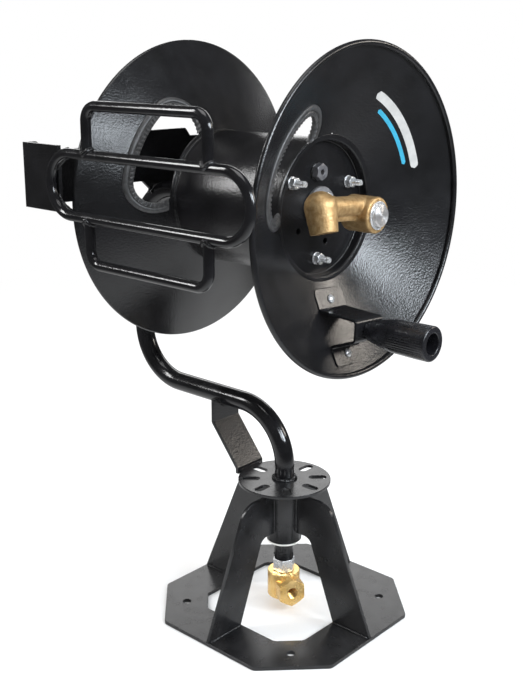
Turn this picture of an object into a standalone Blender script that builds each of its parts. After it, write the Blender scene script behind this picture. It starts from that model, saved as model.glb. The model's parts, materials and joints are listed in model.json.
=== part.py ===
"""Hose reel on a swivelling pedestal, with a hose guide and a crank grip.

Metres, +Z up. Sizes are given from the swivel axis, at floor level. The drum turns on an axis
parallel to X, the hose guide stands on the -Y side, and the base plate's edges face X and Y.
One empty then moves the whole reel, so that the origin is at the bottom centre of its box.
Every loose piece keeps GAP to its neighbours.
"""
import math

import bmesh
import bpy
from mathutils import Vector

INCH = 0.0254
GAP = 0.0003

# Pedestal
BASE_SIDE = 12 * INCH
BASE_FLAT = 0.164
BASE_THICK = 0.005
OPENING_SIDE = 0.179
OPENING_FLAT = 0.123
BASE_CORNER = 0.009
ANCHOR_PITCH = 0.193
ANCHOR_HOLE_RADIUS = 0.0055
FIN_THICK = 0.005
FIN_FOOT_OUT = 0.152
FIN_FOOT_IN = 0.0905
FIN_SHOULDER = Vector((0.0795, 0.174))
FIN_CROTCH = Vector((0.0474, 0.116))
SLEEVE_RADIUS = 0.02415
SLEEVE_BORE = 0.02045
SLEEVE_BOTTOM = 0.1010
SLEEVE_TOP = 0.1827
BUSH_FLANGE = 0.0024
BUSH_LENGTH = 0.020

# Swivel frame
PIPE_RADIUS = 1.05 * INCH / 2
PIPE_BORE = 0.0094
PIPE_BEND = 3 * INCH
PIPE_FOOT = 0.0705
PIPE_RUN_HEIGHT = 0.2835
PIPE_RISER_X = -0.2805
PIPE_END_X = -0.160
PLATE_RADIUS = 2.5 * INCH
PLATE_TOP = 0.1897
PLATE_THICK = 0.004
SLOT_COUNT = 8
SLOT_INNER = 0.0337
SLOT_OUTER = 0.0578
SLOT_WIDTH = 0.0115
STRAP_WIDTH = 2 * INCH
STRAP_THICK = 0.005
STRAP_TAB_X = -0.1128
ARM_X = -0.245
ARM_THICK = 0.005
ARM_BOTTOM = 0.563
ARM_TOP = 0.645
ARM_WAIST_TOP = 0.632
ARM_HUB_TOP = 0.6485
ARM_HUB_LOW = 0.5785
ARM_SADDLE = 0.5545
ARM_TAIL_TOP = 0.637
ARM_BACK_Y = 0.090
BRACKET_X = -0.176

# Hose guide
ROD_RADIUS = INCH / 4
GUIDE_Y = -0.230
LOOP_LEFT = -0.1830
LOOP_RIGHT = 0.1508
LOOP_LOW = 0.563
LOOP_HIGH = 0.638
HOOP_LEFT = -0.111
HOOP_RIGHT = 0.0895
HOOP_TOP = 0.695
HOOP_BOTTOM = 0.508
HOOP_BEND = 0.018

# Drum, given along its own axis from the middle plane between the two dishes
DRUM_HEIGHT = 0.568
DRUM_MIDDLE_X = -0.02635
PARK_ANGLE = math.radians(-4)
CORE_RADIUS = 0.087
CORE_BORE = 0.084
CORE_HALF = 0.09035
FLANGE_RADIUS = 8 * INCH
FLANGE_SHEET = 0.002
BEAD_RADIUS = 0.0035
DISH_SLOPE = 0.51
HUB_PLATE_OUT = 0.07935
HUB_PLATE_THICK = 0.004
HUB_BORE = 0.0205
BEARING_FLANGE_RADIUS = 0.027
BEARING_FLANGE = 0.005
BEARING_DEPTH = 0.018
COLLAR_RADIUS = 0.0203
COLLAR_LENGTH = 0.007
PORT_MIDDLE = math.radians(150)
PORT_PITCH_RADIUS = 0.112
PORT_END_ANGLE = math.radians(21.5)
PORT_INNER = 0.091
PORT_HALF_WIDTH = 0.0265
TRIM_OUTSIDE = 0.0115
TRIM_INSIDE = 0.002
TRIM_HEIGHT = 0.0075
TIE_CIRCLE = 0.0635
TIE_RADIUS = 5 / 32 * INCH
TIE_ANGLES = [math.radians(a) for a in (30, 150, 270)]
TIE_TIP = 0.1020
TIE_NUT_ACROSS = INCH / 2
TIE_NUT_THICK = 0.0068
TIE_HEAD_THICK = 0.0053
TIE_WASHER_RADIUS = 0.0080
TIE_WASHER_THICK = 0.0016
BOSS_ANGLE = math.radians(101)
BOSS_CIRCLE = 0.0460
BOSS_ACROSS = 0.019
BOSS_THICK = 0.010
BOSS_BORE = 0.0032
DRAIN_HOLES = [math.radians(a) for a in (217, 292)]
DRAIN_HOLE_RADIUS = 0.004

# Spindle and outlet, in world X
SPINDLE_RADIUS = PIPE_RADIUS
SPINDLE_BORE = 0.007
SPINDLE_TIP_X = 0.1505
SPINDLE_CHAMFER = 0.0015
BARREL_IN_X = 0.100
BARREL_OUT_X = 0.1435
BARREL_RADIUS = 0.0218
CHAMBER_RADIUS = 0.0165
RING_WIRE = 0.00125
OUTLET_X = 0.1245
OUTLET_RISE = 0.0105
OUTLET_ARM_RADIUS = 0.0115
OUTLET_REACH = 0.086
OUTLET_BORE = 0.007
ELBOW_RADIUS = 0.0188
ELBOW_DROP = 0.0295
ELBOW_END_RADIUS = 0.0160
ELBOW_TILT = math.radians(15)
ELBOW_PORT_BORE = 0.009

# Crank, radii from the drum axis
CRANK_WIDTH = 0.054
CRANK_SHEET = 0.003
CRANK_PLATE_X = 0.1415
CRANK_RADIUS = 0.1402
CRANK_SCREWS = (0.1130, 0.1760)
GRIP_BOLT_RADIUS = 0.004
GRIP_START_X = CRANK_PLATE_X + CRANK_SHEET / 2 + GAP
GRIP_END_X = 0.2345
GRIP_BORE = 0.013
GRIP_SHOULDER_X = 0.160

# Inlet below the pipe
STEM_ACROSS = 0.0272
STEM_HEX_LOW = 0.0525
STEM_RADIUS = 0.009
STEM_BORE = 0.005
STEM_LOW = 0.028
INLET_GROOVE_HEIGHT = 0.0445
INLET_BODY_RADIUS = 0.0225
INLET_LOW = 0.0150
INLET_PORT_HEIGHT = 0.0325
INLET_PORT_REACH = 0.036
INLET_PORT_ACROSS = 0.0355
INLET_PORT_BORE = 0.0085
INLET_ANGLE = math.radians(-29)

# Place of the swivel axis that puts the reel's box over the origin
SWIVEL_X = -(PIPE_RISER_X - PIPE_RADIUS + GRIP_END_X) / 2
SWIVEL_Y = -(GUIDE_Y - ROD_RADIUS + FLANGE_RADIUS) / 2

FULL_TURN = 2 * math.pi
QUARTER = math.pi / 2
CLEARANCE_CUT = 0.02


# --- Scene and materials -------------------------------------------------------------------

def empty_scene():
    for obj in list(bpy.data.objects):
        bpy.data.objects.remove(obj, do_unlink=True)


def make_collection(name):
    collection = bpy.data.collections.new(name)
    bpy.context.scene.collection.children.link(collection)
    return collection


def make_material(name, colour, roughness, metallic):
    material = bpy.data.materials.new(name)
    material.use_nodes = True
    shader = material.node_tree.nodes["Principled BSDF"]
    shader.inputs["Base Color"].default_value = (*colour, 1.0)
    shader.inputs["Roughness"].default_value = roughness
    shader.inputs["Metallic"].default_value = metallic
    return material


def make_empty(name, location, rotation=(0, 0, 0), parent=None):
    empty = bpy.data.objects.new(name, None)
    empty.location = location
    empty.rotation_euler = rotation
    empty.parent = parent
    PARTS.objects.link(empty)
    return empty


def add_object(name, data, location=(0, 0, 0), rotation=(0, 0, 0)):
    """Link new data as a cutter until finish() makes it a part."""
    obj = bpy.data.objects.new(name, data)
    obj.location = location
    obj.rotation_euler = rotation
    obj.hide_render = True
    obj.display_type = "WIRE"
    CUTTERS.objects.link(obj)
    return obj


def hang(obj, parent):
    """Parent a shape and all the shapes its Booleans use."""
    obj.parent = parent
    for modifier in obj.modifiers:
        if modifier.type == "BOOLEAN":
            hang(modifier.object, parent)


def finish(obj, material, parent):
    """Turn a worked shape into a part that hangs on its body's empty."""
    CUTTERS.objects.unlink(obj)
    PARTS.objects.link(obj)
    obj.hide_render = False
    obj.display_type = "TEXTURED"
    hang(obj, parent)
    obj.data.materials.clear()
    obj.data.materials.append(material)
    return obj


# --- Outlines ------------------------------------------------------------------------------

def polar(radius, angle):
    return Vector((radius * math.cos(angle), radius * math.sin(angle)))


def arc(centre, radius, start, end, count):
    """Points on an arc, both ends included."""
    step = (end - start) / (count - 1)
    return [Vector(centre) + polar(radius, start + step * i) for i in range(count)]


def circle(centre, radius, count=20):
    return arc(centre, radius, 0, FULL_TURN, count + 1)[:-1]


def rounded(corners, radii, count=6):
    """A closed outline whose corners are replaced with arcs of the given radii."""
    points = []
    for i, corner in enumerate(corners):
        corner = Vector(corner)
        before = (Vector(corners[i - 1]) - corner).normalized()
        after = (Vector(corners[(i + 1) % len(corners)]) - corner).normalized()
        radius = radii[i]
        if radius == 0:
            points.append(corner)
            continue
        half = before.angle(after) / 2
        centre = corner + (before + after).normalized() * (radius / math.sin(half))
        first = corner + before * (radius / math.tan(half)) - centre
        last = corner + after * (radius / math.tan(half)) - centre
        start = math.atan2(first.y, first.x)
        sweep = math.remainder(math.atan2(last.y, last.x) - start, FULL_TURN)
        points += arc(centre, radius, start, start + sweep, count)
    return points


def clipped_square(side, flat, radius):
    half_side = side / 2
    half_flat = flat / 2
    corners = []
    for quarter in range(4):
        turn = quarter * QUARTER
        for across in (-half_flat, half_flat):
            out = polar(half_side, turn)
            along = polar(across, turn + QUARTER)
            corners.append(out + along)
    return rounded(corners, [radius] * len(corners))


def slot(centre_angle, inner, outer, width):
    """A radial slot with round ends."""
    end = width / 2
    low = polar(inner + end, centre_angle)
    high = polar(outer - end, centre_angle)
    points = arc(high, end, centre_angle - QUARTER, centre_angle + QUARTER, 5)
    points += arc(low, end, centre_angle + QUARTER, centre_angle + 3 * QUARTER, 5)
    return points


def kidney(half_width, inner, count=10):
    """A curved opening round the hub: round ends, cut off at the inner radius."""
    pitch = PORT_PITCH_RADIUS
    inner = max(inner, pitch - half_width)
    reach = (pitch ** 2 + half_width ** 2 - inner ** 2) / (2 * pitch * half_width)
    first = math.acos(min(reach, 1))
    points = []
    for side in (-1, 1):
        angle = PORT_MIDDLE + side * PORT_END_ANGLE
        start = angle + math.pi - side * first
        end = angle
        if side < 0:
            sweep = arc(polar(pitch, angle), half_width, start - FULL_TURN, end, count)
            outer = arc((0, 0), pitch + half_width, angle, PORT_MIDDLE + PORT_END_ANGLE, count)
            points += sweep + outer[1:-1]
        else:
            points += arc(polar(pitch, angle), half_width, end, start, count)
    low = math.atan2(points[0].y, points[0].x)
    high = math.atan2(points[-1].y, points[-1].x)
    high += FULL_TURN if high < low else 0
    points += arc((0, 0), inner, high, low, count)[1:-1]
    return points


def strip_outline(path, thickness):
    """The closed outline of a folded strip with mitred corners, from its middle line."""
    path = [Vector(point) for point in path]
    left = []
    right = []
    for i, point in enumerate(path):
        back = (point - path[i - 1]).normalized() if i else None
        ahead = (path[i + 1] - point).normalized() if i + 1 < len(path) else None
        back = back or ahead
        ahead = ahead or back
        normal = Vector((-back.y - ahead.y, back.x + ahead.x)).normalized()
        mitre = thickness / 2 / normal.dot(Vector((-back.y, back.x)))
        left.append(point + normal * mitre)
        right.append(point - normal * mitre)
    return left + right[::-1]


# --- Shapes --------------------------------------------------------------------------------

def flat_curve(name, outlines, thickness, location=(0, 0, 0), rotation=(0, 0, 0)):
    curve = bpy.data.curves.new(name, "CURVE")
    curve.dimensions = "2D"
    curve.fill_mode = "BOTH"
    curve.extrude = thickness / 2
    for outline in outlines:
        spline = curve.splines.new("POLY")
        spline.points.add(len(outline) - 1)
        spline.use_cyclic_u = True
        for target, point in zip(spline.points, outline):
            target.co = (point[0], point[1], 0, 1)
    return add_object(name, curve, location, rotation)


def rod_curve(name, points, radius, closed=False, resolution=4):
    curve = bpy.data.curves.new(name, "CURVE")
    curve.dimensions = "3D"
    curve.bevel_depth = radius
    curve.bevel_resolution = resolution
    curve.use_fill_caps = not closed
    spline = curve.splines.new("POLY")
    spline.points.add(len(points) - 1)
    spline.use_cyclic_u = closed
    for target, point in zip(spline.points, points):
        target.co = (*point, 1)
    return add_object(name, curve)


def as_mesh(obj):
    """Swap a curve object for a closed mesh object of the same shape and place."""
    bpy.context.view_layer.update()
    evaluated = obj.evaluated_get(bpy.context.evaluated_depsgraph_get())
    mesh = bpy.data.meshes.new_from_object(evaluated)
    work = bmesh.new()
    work.from_mesh(mesh)
    bmesh.ops.remove_doubles(work, verts=work.verts, dist=0.00001)
    work.to_mesh(mesh)
    work.free()
    name = obj.name
    place = obj.matrix_world.copy()
    bpy.data.objects.remove(obj, do_unlink=True)
    solid = add_object(name, mesh)
    solid.matrix_world = place
    return solid


def plate(name, outlines, thickness, location=(0, 0, 0), rotation=(0, 0, 0)):
    return as_mesh(flat_curve(name, outlines, thickness, location, rotation))


def turned(name, profile, steps=28, location=(0, 0, 0), rotation=(0, 0, 0)):
    """Spin a closed (radius, height) outline about local Z.

    The outline runs down its outer side. A radius of zero lies on the axis.
    """
    mesh = bpy.data.meshes.new(name)
    on_axis = [i for i, point in enumerate(profile) if point[0] == 0]
    edges = [(i, i + 1) for i in range(len(profile) - 1)]
    if not on_axis:
        edges.append((len(profile) - 1, 0))
    mesh.from_pydata([(radius, 0, height) for radius, height in profile], edges, [])
    obj = add_object(name, mesh, location, rotation)
    screw = obj.modifiers.new("turn", "SCREW")
    screw.steps = steps
    screw.render_steps = steps
    screw.use_merge_vertices = True
    screw.merge_threshold = 0.00001
    screw.use_smooth_shade = True
    return obj


def cylinder(name, radius, length, location, rotation=(0, 0, 0), sides=24):
    work = bmesh.new()
    bmesh.ops.create_cone(work, cap_ends=True, segments=sides, radius1=radius,
                          radius2=radius, depth=length)
    mesh = bpy.data.meshes.new(name)
    work.to_mesh(mesh)
    work.free()
    return add_object(name, mesh, location, rotation)


def hexagon(name, across_flats, length, location, rotation=(0, 0, 0)):
    return cylinder(name, across_flats / math.sqrt(3), length, location, rotation, sides=6)


def box(name, size, location, rotation=(0, 0, 0)):
    work = bmesh.new()
    bmesh.ops.create_cube(work, size=1)
    bmesh.ops.scale(work, vec=size, verts=work.verts)
    mesh = bpy.data.meshes.new(name)
    work.to_mesh(mesh)
    work.free()
    return add_object(name, mesh, location, rotation)


def ball(name, radius, location):
    work = bmesh.new()
    bmesh.ops.create_uvsphere(work, u_segments=16, v_segments=8, radius=radius)
    mesh = bpy.data.meshes.new(name)
    work.to_mesh(mesh)
    work.free()
    return add_object(name, mesh, location)


def combine(obj, other, operation):
    modifier = obj.modifiers.new(other.name, "BOOLEAN")
    modifier.object = other
    modifier.operation = operation
    modifier.solver = "EXACT"
    return obj


def cut(obj, *cutters):
    for cutter in cutters:
        combine(obj, cutter, "DIFFERENCE")
    return obj


def fuse(obj, *others):
    for other in others:
        combine(obj, other, "UNION")
    return obj


def smooth(obj):
    obj.data.shade_smooth()
    obj.data.set_sharp_from_angle(angle=math.radians(35))
    return obj


ALONG_X = (0, QUARTER, 0)
ALONG_Y = (-QUARTER, 0, 0)


# --- Pedestal ------------------------------------------------------------------------------

def base_plate():
    outlines = [
        clipped_square(BASE_SIDE, BASE_FLAT, BASE_CORNER),
        clipped_square(OPENING_SIDE, OPENING_FLAT, BASE_CORNER),
    ]
    reach = ANCHOR_PITCH / 2
    for x in (-reach, reach):
        for y in (-reach, reach):
            outlines.append(circle((x, y), ANCHOR_HOLE_RADIUS, 16))
    return flat_curve("base_plate", outlines, BASE_THICK, (0, 0, BASE_THICK / 2))


def fin(name, angle):
    foot = BASE_THICK + GAP
    root = SLEEVE_RADIUS + GAP
    corners = [
        (FIN_FOOT_IN, foot),
        (FIN_FOOT_OUT, foot),
        FIN_SHOULDER,
        (root, FIN_SHOULDER.y),
        (root, FIN_CROTCH.y),
        FIN_CROTCH,
    ]
    outline = rounded(corners, [0, 0, 0.029, 0, 0, 0.013], 8)
    return flat_curve(name, [outline], FIN_THICK, rotation=(QUARTER, 0, angle))


def pivot_sleeve():
    profile = [
        (SLEEVE_RADIUS, SLEEVE_TOP),
        (SLEEVE_RADIUS, SLEEVE_BOTTOM),
        (SLEEVE_BORE, SLEEVE_BOTTOM),
        (SLEEVE_BORE, SLEEVE_TOP),
    ]
    return turned("pivot_sleeve", profile)


def bush(name, upright):
    """A flanged bush; its flange sits on the sleeve's end and its body inside the sleeve."""
    body = SLEEVE_BORE - GAP
    bore = PIPE_RADIUS + GAP
    flange = GAP + BUSH_FLANGE
    profile = [
        (SLEEVE_RADIUS, flange),
        (SLEEVE_RADIUS, GAP),
        (body, GAP),
        (body, -BUSH_LENGTH),
        (bore, -BUSH_LENGTH),
        (bore, flange),
    ]
    if upright:
        return turned(name, profile, location=(0, 0, SLEEVE_TOP))
    return turned(name, profile, location=(0, 0, SLEEVE_BOTTOM), rotation=(math.pi, 0, 0))


# --- Swivel frame --------------------------------------------------------------------------

def pipe_path(lead):
    """The bent pipe's middle line in the XZ plane, longer by lead at both ends."""
    bend = PIPE_BEND
    first = arc((-bend, PIPE_RUN_HEIGHT - bend), bend, 0, QUARTER, 9)
    second_centre = (PIPE_RISER_X + bend, PIPE_RUN_HEIGHT + bend)
    second = arc(second_centre, bend, -QUARTER, -math.pi, 9)
    third_centre = (PIPE_RISER_X + bend, DRUM_HEIGHT - bend)
    third = arc(third_centre, bend, math.pi, QUARTER, 9)
    start = Vector((0, PIPE_FOOT - lead))
    end = Vector((PIPE_END_X + lead, DRUM_HEIGHT))
    return [(x, 0, z) for x, z in [start, *first, *second, *third, end]]


def swivel_pipe():
    outside = as_mesh(rod_curve("swivel_pipe", pipe_path(0), PIPE_RADIUS, resolution=5))
    bore = as_mesh(rod_curve("pipe_bore", pipe_path(CLEARANCE_CUT), PIPE_BORE, resolution=4))
    return cut(outside, bore)


def index_plate():
    outlines = [circle((0, 0), PLATE_RADIUS, 40), circle((0, 0), PIPE_RADIUS + GAP)]
    for i in range(SLOT_COUNT):
        outlines.append(slot(i * FULL_TURN / SLOT_COUNT, SLOT_INNER, SLOT_OUTER, SLOT_WIDTH))
    return flat_curve("index_plate", outlines, PLATE_THICK, (0, 0, PLATE_TOP - PLATE_THICK / 2))


def brace_strap():
    """A flat bar, folded twice, from the index plate's rim up to the pipe's level run."""
    rim_x = -(PLATE_RADIUS + GAP + STRAP_THICK / 2)
    path = [
        (STRAP_TAB_X, PIPE_RUN_HEIGHT),
        (STRAP_TAB_X, 0.2494),
        (rim_x, 0.1925),
        (rim_x, PLATE_TOP - PLATE_THICK - 0.001),
    ]
    strap = plate("brace_strap", [strip_outline(path, STRAP_THICK)], STRAP_WIDTH,
                  rotation=(QUARTER, 0, 0))
    saddle = cylinder("strap_saddle", PIPE_RADIUS + GAP, 0.03,
                      (STRAP_TAB_X, 0, PIPE_RUN_HEIGHT), ALONG_X)
    return cut(strap, saddle)


def guide_arm():
    """One folded plate: a bracket behind the guide loop and an arm back to the pipe."""
    bracket_y = GUIDE_Y + ROD_RADIUS + GAP + ARM_THICK / 2
    path = [(BRACKET_X, bracket_y), (ARM_X, bracket_y), (ARM_X, ARM_BACK_Y + ARM_THICK)]
    tall = 0.3
    arm = plate("guide_arm", [strip_outline(path, ARM_THICK)], tall, (0, 0, ARM_BOTTOM))
    front = GUIDE_Y - ARM_THICK
    corners = [
        (front, ARM_BOTTOM),
        (-0.120, ARM_BOTTOM),
        (-0.100, ARM_HUB_LOW),
        (-0.029, ARM_HUB_LOW),
        (-0.002, ARM_SADDLE),
        (ARM_BACK_Y, ARM_SADDLE),
        (ARM_BACK_Y, ARM_TAIL_TOP),
        (0.064, ARM_TAIL_TOP),
        (0.055, ARM_HUB_TOP),
        (-0.050, ARM_HUB_TOP),
        (-0.070, ARM_WAIST_TOP),
        (-0.193, ARM_WAIST_TOP),
        (-0.206, ARM_TOP),
        (front, ARM_TOP),
    ]
    radii = [0, 0, 0, 0, 0, 0.006, 0.012, 0.004, 0.006, 0, 0, 0, 0, 0]
    side_view = rounded(corners, radii, 4)
    outline = plate("arm_outline", [side_view], 0.3, (ARM_X, 0, 0), (QUARTER, 0, QUARTER))
    combine(arm, outline, "INTERSECT")
    pipe_hole = as_mesh(rod_curve("arm_pipe_hole", pipe_path(0), PIPE_RADIUS + GAP, resolution=6))
    return cut(arm, pipe_hole)


def guide_loop():
    bend = (LOOP_HIGH - LOOP_LOW) / 2
    middle = (LOOP_HIGH + LOOP_LOW) / 2
    right = arc((LOOP_RIGHT - bend, middle), bend, -QUARTER, QUARTER, 13)
    left = arc((LOOP_LEFT + bend, middle), bend, QUARTER, 3 * QUARTER, 13)
    points = [(x, GUIDE_Y, z) for x, z in right + left]
    return rod_curve("guide_loop", points, ROD_RADIUS, closed=True)


def guide_hoop(name, rail, bar):
    """A U-shaped rod whose ends stand on one rail of the loop."""
    away = math.copysign(1, bar - rail)
    foot = rail + away * (ROD_RADIUS + GAP)
    turn = bar - away * HOOP_BEND
    left = arc((HOOP_LEFT + HOOP_BEND, turn), HOOP_BEND, math.pi, math.pi - away * QUARTER, 7)
    right = arc((HOOP_RIGHT - HOOP_BEND, turn), HOOP_BEND, away * QUARTER, 0, 7)
    path = [Vector((HOOP_LEFT, foot)), *left, *right, Vector((HOOP_RIGHT, foot))]
    return rod_curve(name, [(x, GUIDE_Y, z) for x, z in path], ROD_RADIUS)


def spindle():
    """The fixed hollow shaft: it carries the drum and leads the water to the outlet barrel."""
    groove = BARREL_OUT_X
    start = PIPE_END_X + GAP
    profile = [
        (SPINDLE_RADIUS - SPINDLE_CHAMFER, SPINDLE_TIP_X),
        (SPINDLE_RADIUS, SPINDLE_TIP_X - SPINDLE_CHAMFER),
        (SPINDLE_RADIUS, groove + 0.0022),
        (SPINDLE_RADIUS - 0.0015, groove + 0.0022),
        (SPINDLE_RADIUS - 0.0015, groove),
        (SPINDLE_RADIUS, groove),
        (SPINDLE_RADIUS, start),
        (SPINDLE_BORE, start),
        (SPINDLE_BORE, 0.134),
        (0.003, 0.137),
    ]
    profile = [(0, SPINDLE_TIP_X), *profile, (0, 0.137)]
    shaft = turned("spindle", profile, location=(0, 0, DRUM_HEIGHT), rotation=ALONG_X)
    port = cylinder("spindle_port", 0.0045, 0.04, (0.122, 0, DRUM_HEIGHT), sides=12)
    return cut(shaft, port)


def ring_on_spindle(name, outer, start_x, length):
    inner = SPINDLE_RADIUS + GAP
    profile = [(outer, length), (outer, 0), (inner, 0), (inner, length)]
    return turned(name, profile, location=(start_x, 0, DRUM_HEIGHT), rotation=ALONG_X)


def seal_ring(name, radius, location, rotation=(0, 0, 0)):
    """A round-wire sealing ring; radius is to the middle of the wire."""
    wire = [(radius + x, z) for x, z in circle((0, 0), RING_WIRE, 6)]
    return turned(name, wire[::-1], 20, location, rotation)


def snap_ring():
    inner = SPINDLE_RADIUS - 0.0015 + GAP
    outer = 0.0172
    open_half = math.radians(32)
    middle = math.radians(-40)
    first = middle + open_half
    last = middle - open_half + FULL_TURN
    outline = arc((0, 0), outer, first, last, 25) + arc((0, 0), inner, last, first, 25)
    width = 0.0016
    place = (BARREL_OUT_X + GAP + width / 2, 0, DRUM_HEIGHT)
    return flat_curve("snap_ring", [outline], width, place, (QUARTER, 0, QUARTER))


# --- Inlet ---------------------------------------------------------------------------------

def inlet_stem():
    """A hex fitting: its upper spigot screws into the pipe, its lower one turns in the elbow."""
    upper = PIPE_BORE - 3 * GAP
    top = PIPE_FOOT - GAP
    profile = [
        (0, top + 0.014),
        (upper, top + 0.014),
        (upper, top - 0.004),
        (STEM_RADIUS, STEM_HEX_LOW + 0.004),
        (STEM_RADIUS, STEM_LOW),
        (0, STEM_LOW),
    ]
    stem = turned("inlet_stem", profile, 24)
    length = top - STEM_HEX_LOW
    collar = hexagon("stem_hex", STEM_ACROSS, length, (0, 0, STEM_HEX_LOW + length / 2))
    bore = cylinder("stem_bore", STEM_BORE, 0.12, (0, 0, 0.05))
    return cut(fuse(stem, collar), bore)


def inlet_elbow():
    """The swivelling brass elbow, modelled along +X and turned by its empty."""
    body_top = STEM_HEX_LOW - GAP
    height = body_top - INLET_LOW
    body = cylinder("inlet_elbow", INLET_BODY_RADIUS, height, (0, 0, INLET_LOW + height / 2),
                    sides=24)
    port = hexagon("inlet_port", INLET_PORT_ACROSS, INLET_PORT_REACH,
                   (INLET_PORT_REACH / 2, 0, INLET_PORT_HEIGHT), ALONG_X)
    socket = cylinder("inlet_socket", STEM_RADIUS + GAP, 0.04, (0, 0, 0.0425))
    groove = cylinder("inlet_groove", STEM_RADIUS + 2 * RING_WIRE + 3 * GAP, 0.0034,
                      (0, 0, INLET_GROOVE_HEIGHT))
    bore = cylinder("inlet_bore", INLET_PORT_BORE, 0.05, (0.025, 0, INLET_PORT_HEIGHT), ALONG_X)
    return cut(fuse(body, port), socket, groove, bore)


def inlet_seal():
    return seal_ring("inlet_seal", STEM_RADIUS + GAP + RING_WIRE, (0, 0, INLET_GROOVE_HEIGHT))


# --- Drum ----------------------------------------------------------------------------------
# Drum pieces are placed from the drum's own empty, whose X axis is the drum axis.

def side_x(side, from_middle):
    """Position along the drum axis, for the crank side (+1) or the pipe side (-1)."""
    return DRUM_MIDDLE_X + side * from_middle


def outward(side):
    """A turned piece's local +Z points away from the drum's middle."""
    return (0, side * QUARTER, 0)


def dish_line(radius):
    """Distance of the dish sheet's middle surface from the drum's middle plane."""
    return CORE_HALF + DISH_SLOPE * (radius - CORE_RADIUS)


DISH_ANGLE = math.atan(DISH_SLOPE)


def drum_core():
    profile = [
        (CORE_RADIUS, CORE_HALF),
        (CORE_RADIUS, -CORE_HALF),
        (CORE_BORE, -CORE_HALF),
        (CORE_BORE, CORE_HALF),
    ]
    return turned("drum_core", profile, 48, (DRUM_MIDDLE_X, 0, 0), ALONG_X)


def dish(name, side, half_sheet, inner):
    """A dished flange, its edge rolled outwards into a bead that the sheet's back runs into."""
    lift = BEAD_RADIUS - FLANGE_SHEET / 2
    bead = half_sheet + lift
    normal = polar(1, DISH_ANGLE + QUARTER)
    centre_radius = FLANGE_RADIUS - BEAD_RADIUS
    foot_radius = centre_radius + normal.x * -lift
    centre = Vector((foot_radius, dish_line(foot_radius))) + normal * lift
    low = Vector((inner, dish_line(inner)))
    start = math.pi - math.asin((half_sheet - lift) / bead)
    roll = arc(centre, bead, DISH_ANGLE + start, DISH_ANGLE - QUARTER, 8)
    profile = [low + normal * half_sheet, *roll, low - normal * half_sheet]
    return turned(name, profile, 48, (DRUM_MIDDLE_X, 0, 0), outward(side))


def port_prism(name, side, half_width, inner, count=10):
    """The hose port's outline as a prism along the drum axis, on one side of the drum."""
    return plate(name, [kidney(half_width, inner, count)], 0.12, (side_x(side, 0.12), 0, 0),
                 (QUARTER, 0, QUARTER))


def axial_hole(name, radius, circle_radius, angle, side, sides=12):
    y, z = polar(circle_radius, angle)
    return cylinder(name, radius, 0.03, (side_x(side, HUB_PLATE_OUT), y, z), ALONG_X, sides)


def flange(name, side):
    inner = CORE_RADIUS + GAP + FLANGE_SHEET / 3
    sheet = dish(name, side, FLANGE_SHEET / 2, inner)
    cut(sheet, port_prism(name + "_port", side, PORT_HALF_WIDTH, PORT_INNER))
    return sheet


def port_trim(name, side, sheet_cutter):
    """A rubber channel that wraps the hose port's sheet edge, open towards the core."""
    outside = PORT_HALF_WIDTH + TRIM_OUTSIDE
    inside = PORT_HALF_WIDTH - TRIM_INSIDE
    trim = port_prism(name, side, outside, PORT_INNER + 0.001)
    layer = dish(name + "_layer", side, TRIM_HEIGHT / 2, PORT_INNER - 0.01)
    opening = port_prism(name + "_opening", side, inside, PORT_INNER - 0.008)
    combine(trim, layer, "INTERSECT")
    return cut(trim, opening, sheet_cutter)


def sheet_cutter(name, side):
    """The flange sheet, thicker by a gap all round, to cut the pieces that hold it."""
    sheet = dish(name, side, FLANGE_SHEET / 2 + GAP, PORT_INNER - 0.02)
    hole = port_prism(name + "_port", side, PORT_HALF_WIDTH - GAP, PORT_INNER + GAP)
    return cut(sheet, hole)


def hub_plate(name, side):
    radius = CORE_BORE - GAP
    holes = [circle((0, 0), radius, 40), circle((0, 0), HUB_BORE, 20)]
    for angle in TIE_ANGLES:
        holes.append(circle(polar(TIE_CIRCLE, angle), TIE_RADIUS + GAP, 12))
    if side > 0:
        for angle in DRAIN_HOLES:
            holes.append(circle(polar(BOSS_CIRCLE, angle), DRAIN_HOLE_RADIUS, 12))
        holes.append(circle(polar(BOSS_CIRCLE, BOSS_ANGLE), BOSS_BORE, 12))
    middle = HUB_PLATE_OUT - HUB_PLATE_THICK / 2
    return flat_curve(name, holes, HUB_PLATE_THICK, (side_x(side, middle), 0, 0),
                      (QUARTER, 0, QUARTER))


def hub_bearing(name, side):
    """A flanged sleeve bearing: pressed into the hub plate, running on the spindle."""
    bore = SPINDLE_RADIUS + GAP
    body = HUB_BORE - GAP
    profile = [
        (BEARING_FLANGE_RADIUS, GAP + BEARING_FLANGE),
        (BEARING_FLANGE_RADIUS, GAP),
        (body, GAP),
        (body, -BEARING_DEPTH),
        (bore, -BEARING_DEPTH),
        (bore, GAP + BEARING_FLANGE),
    ]
    return turned(name, profile, 28, (side_x(side, HUB_PLATE_OUT), 0, 0), outward(side))


def tie_bolt(name, angle):
    """A long bolt through both hub plates; its head is on the pipe side."""
    y, z = polar(TIE_CIRCLE, angle)
    head_x = side_x(-1, HUB_PLATE_OUT + GAP + TIE_HEAD_THICK / 2)
    tip_x = side_x(1, TIE_TIP)
    shank = cylinder(name, TIE_RADIUS, tip_x - head_x, ((tip_x + head_x) / 2, y, z), ALONG_X, 12)
    head = hexagon(name + "_head", TIE_NUT_ACROSS, TIE_HEAD_THICK, (head_x, y, z), ALONG_X)
    return fuse(shank, head)


def nut(name, across, thickness, bore, location, rotation=ALONG_X):
    body = hexagon(name, across, thickness, location, rotation)
    hole = cylinder(name + "_bore", bore, thickness * 3, location, rotation, 12)
    return cut(body, hole)


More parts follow.
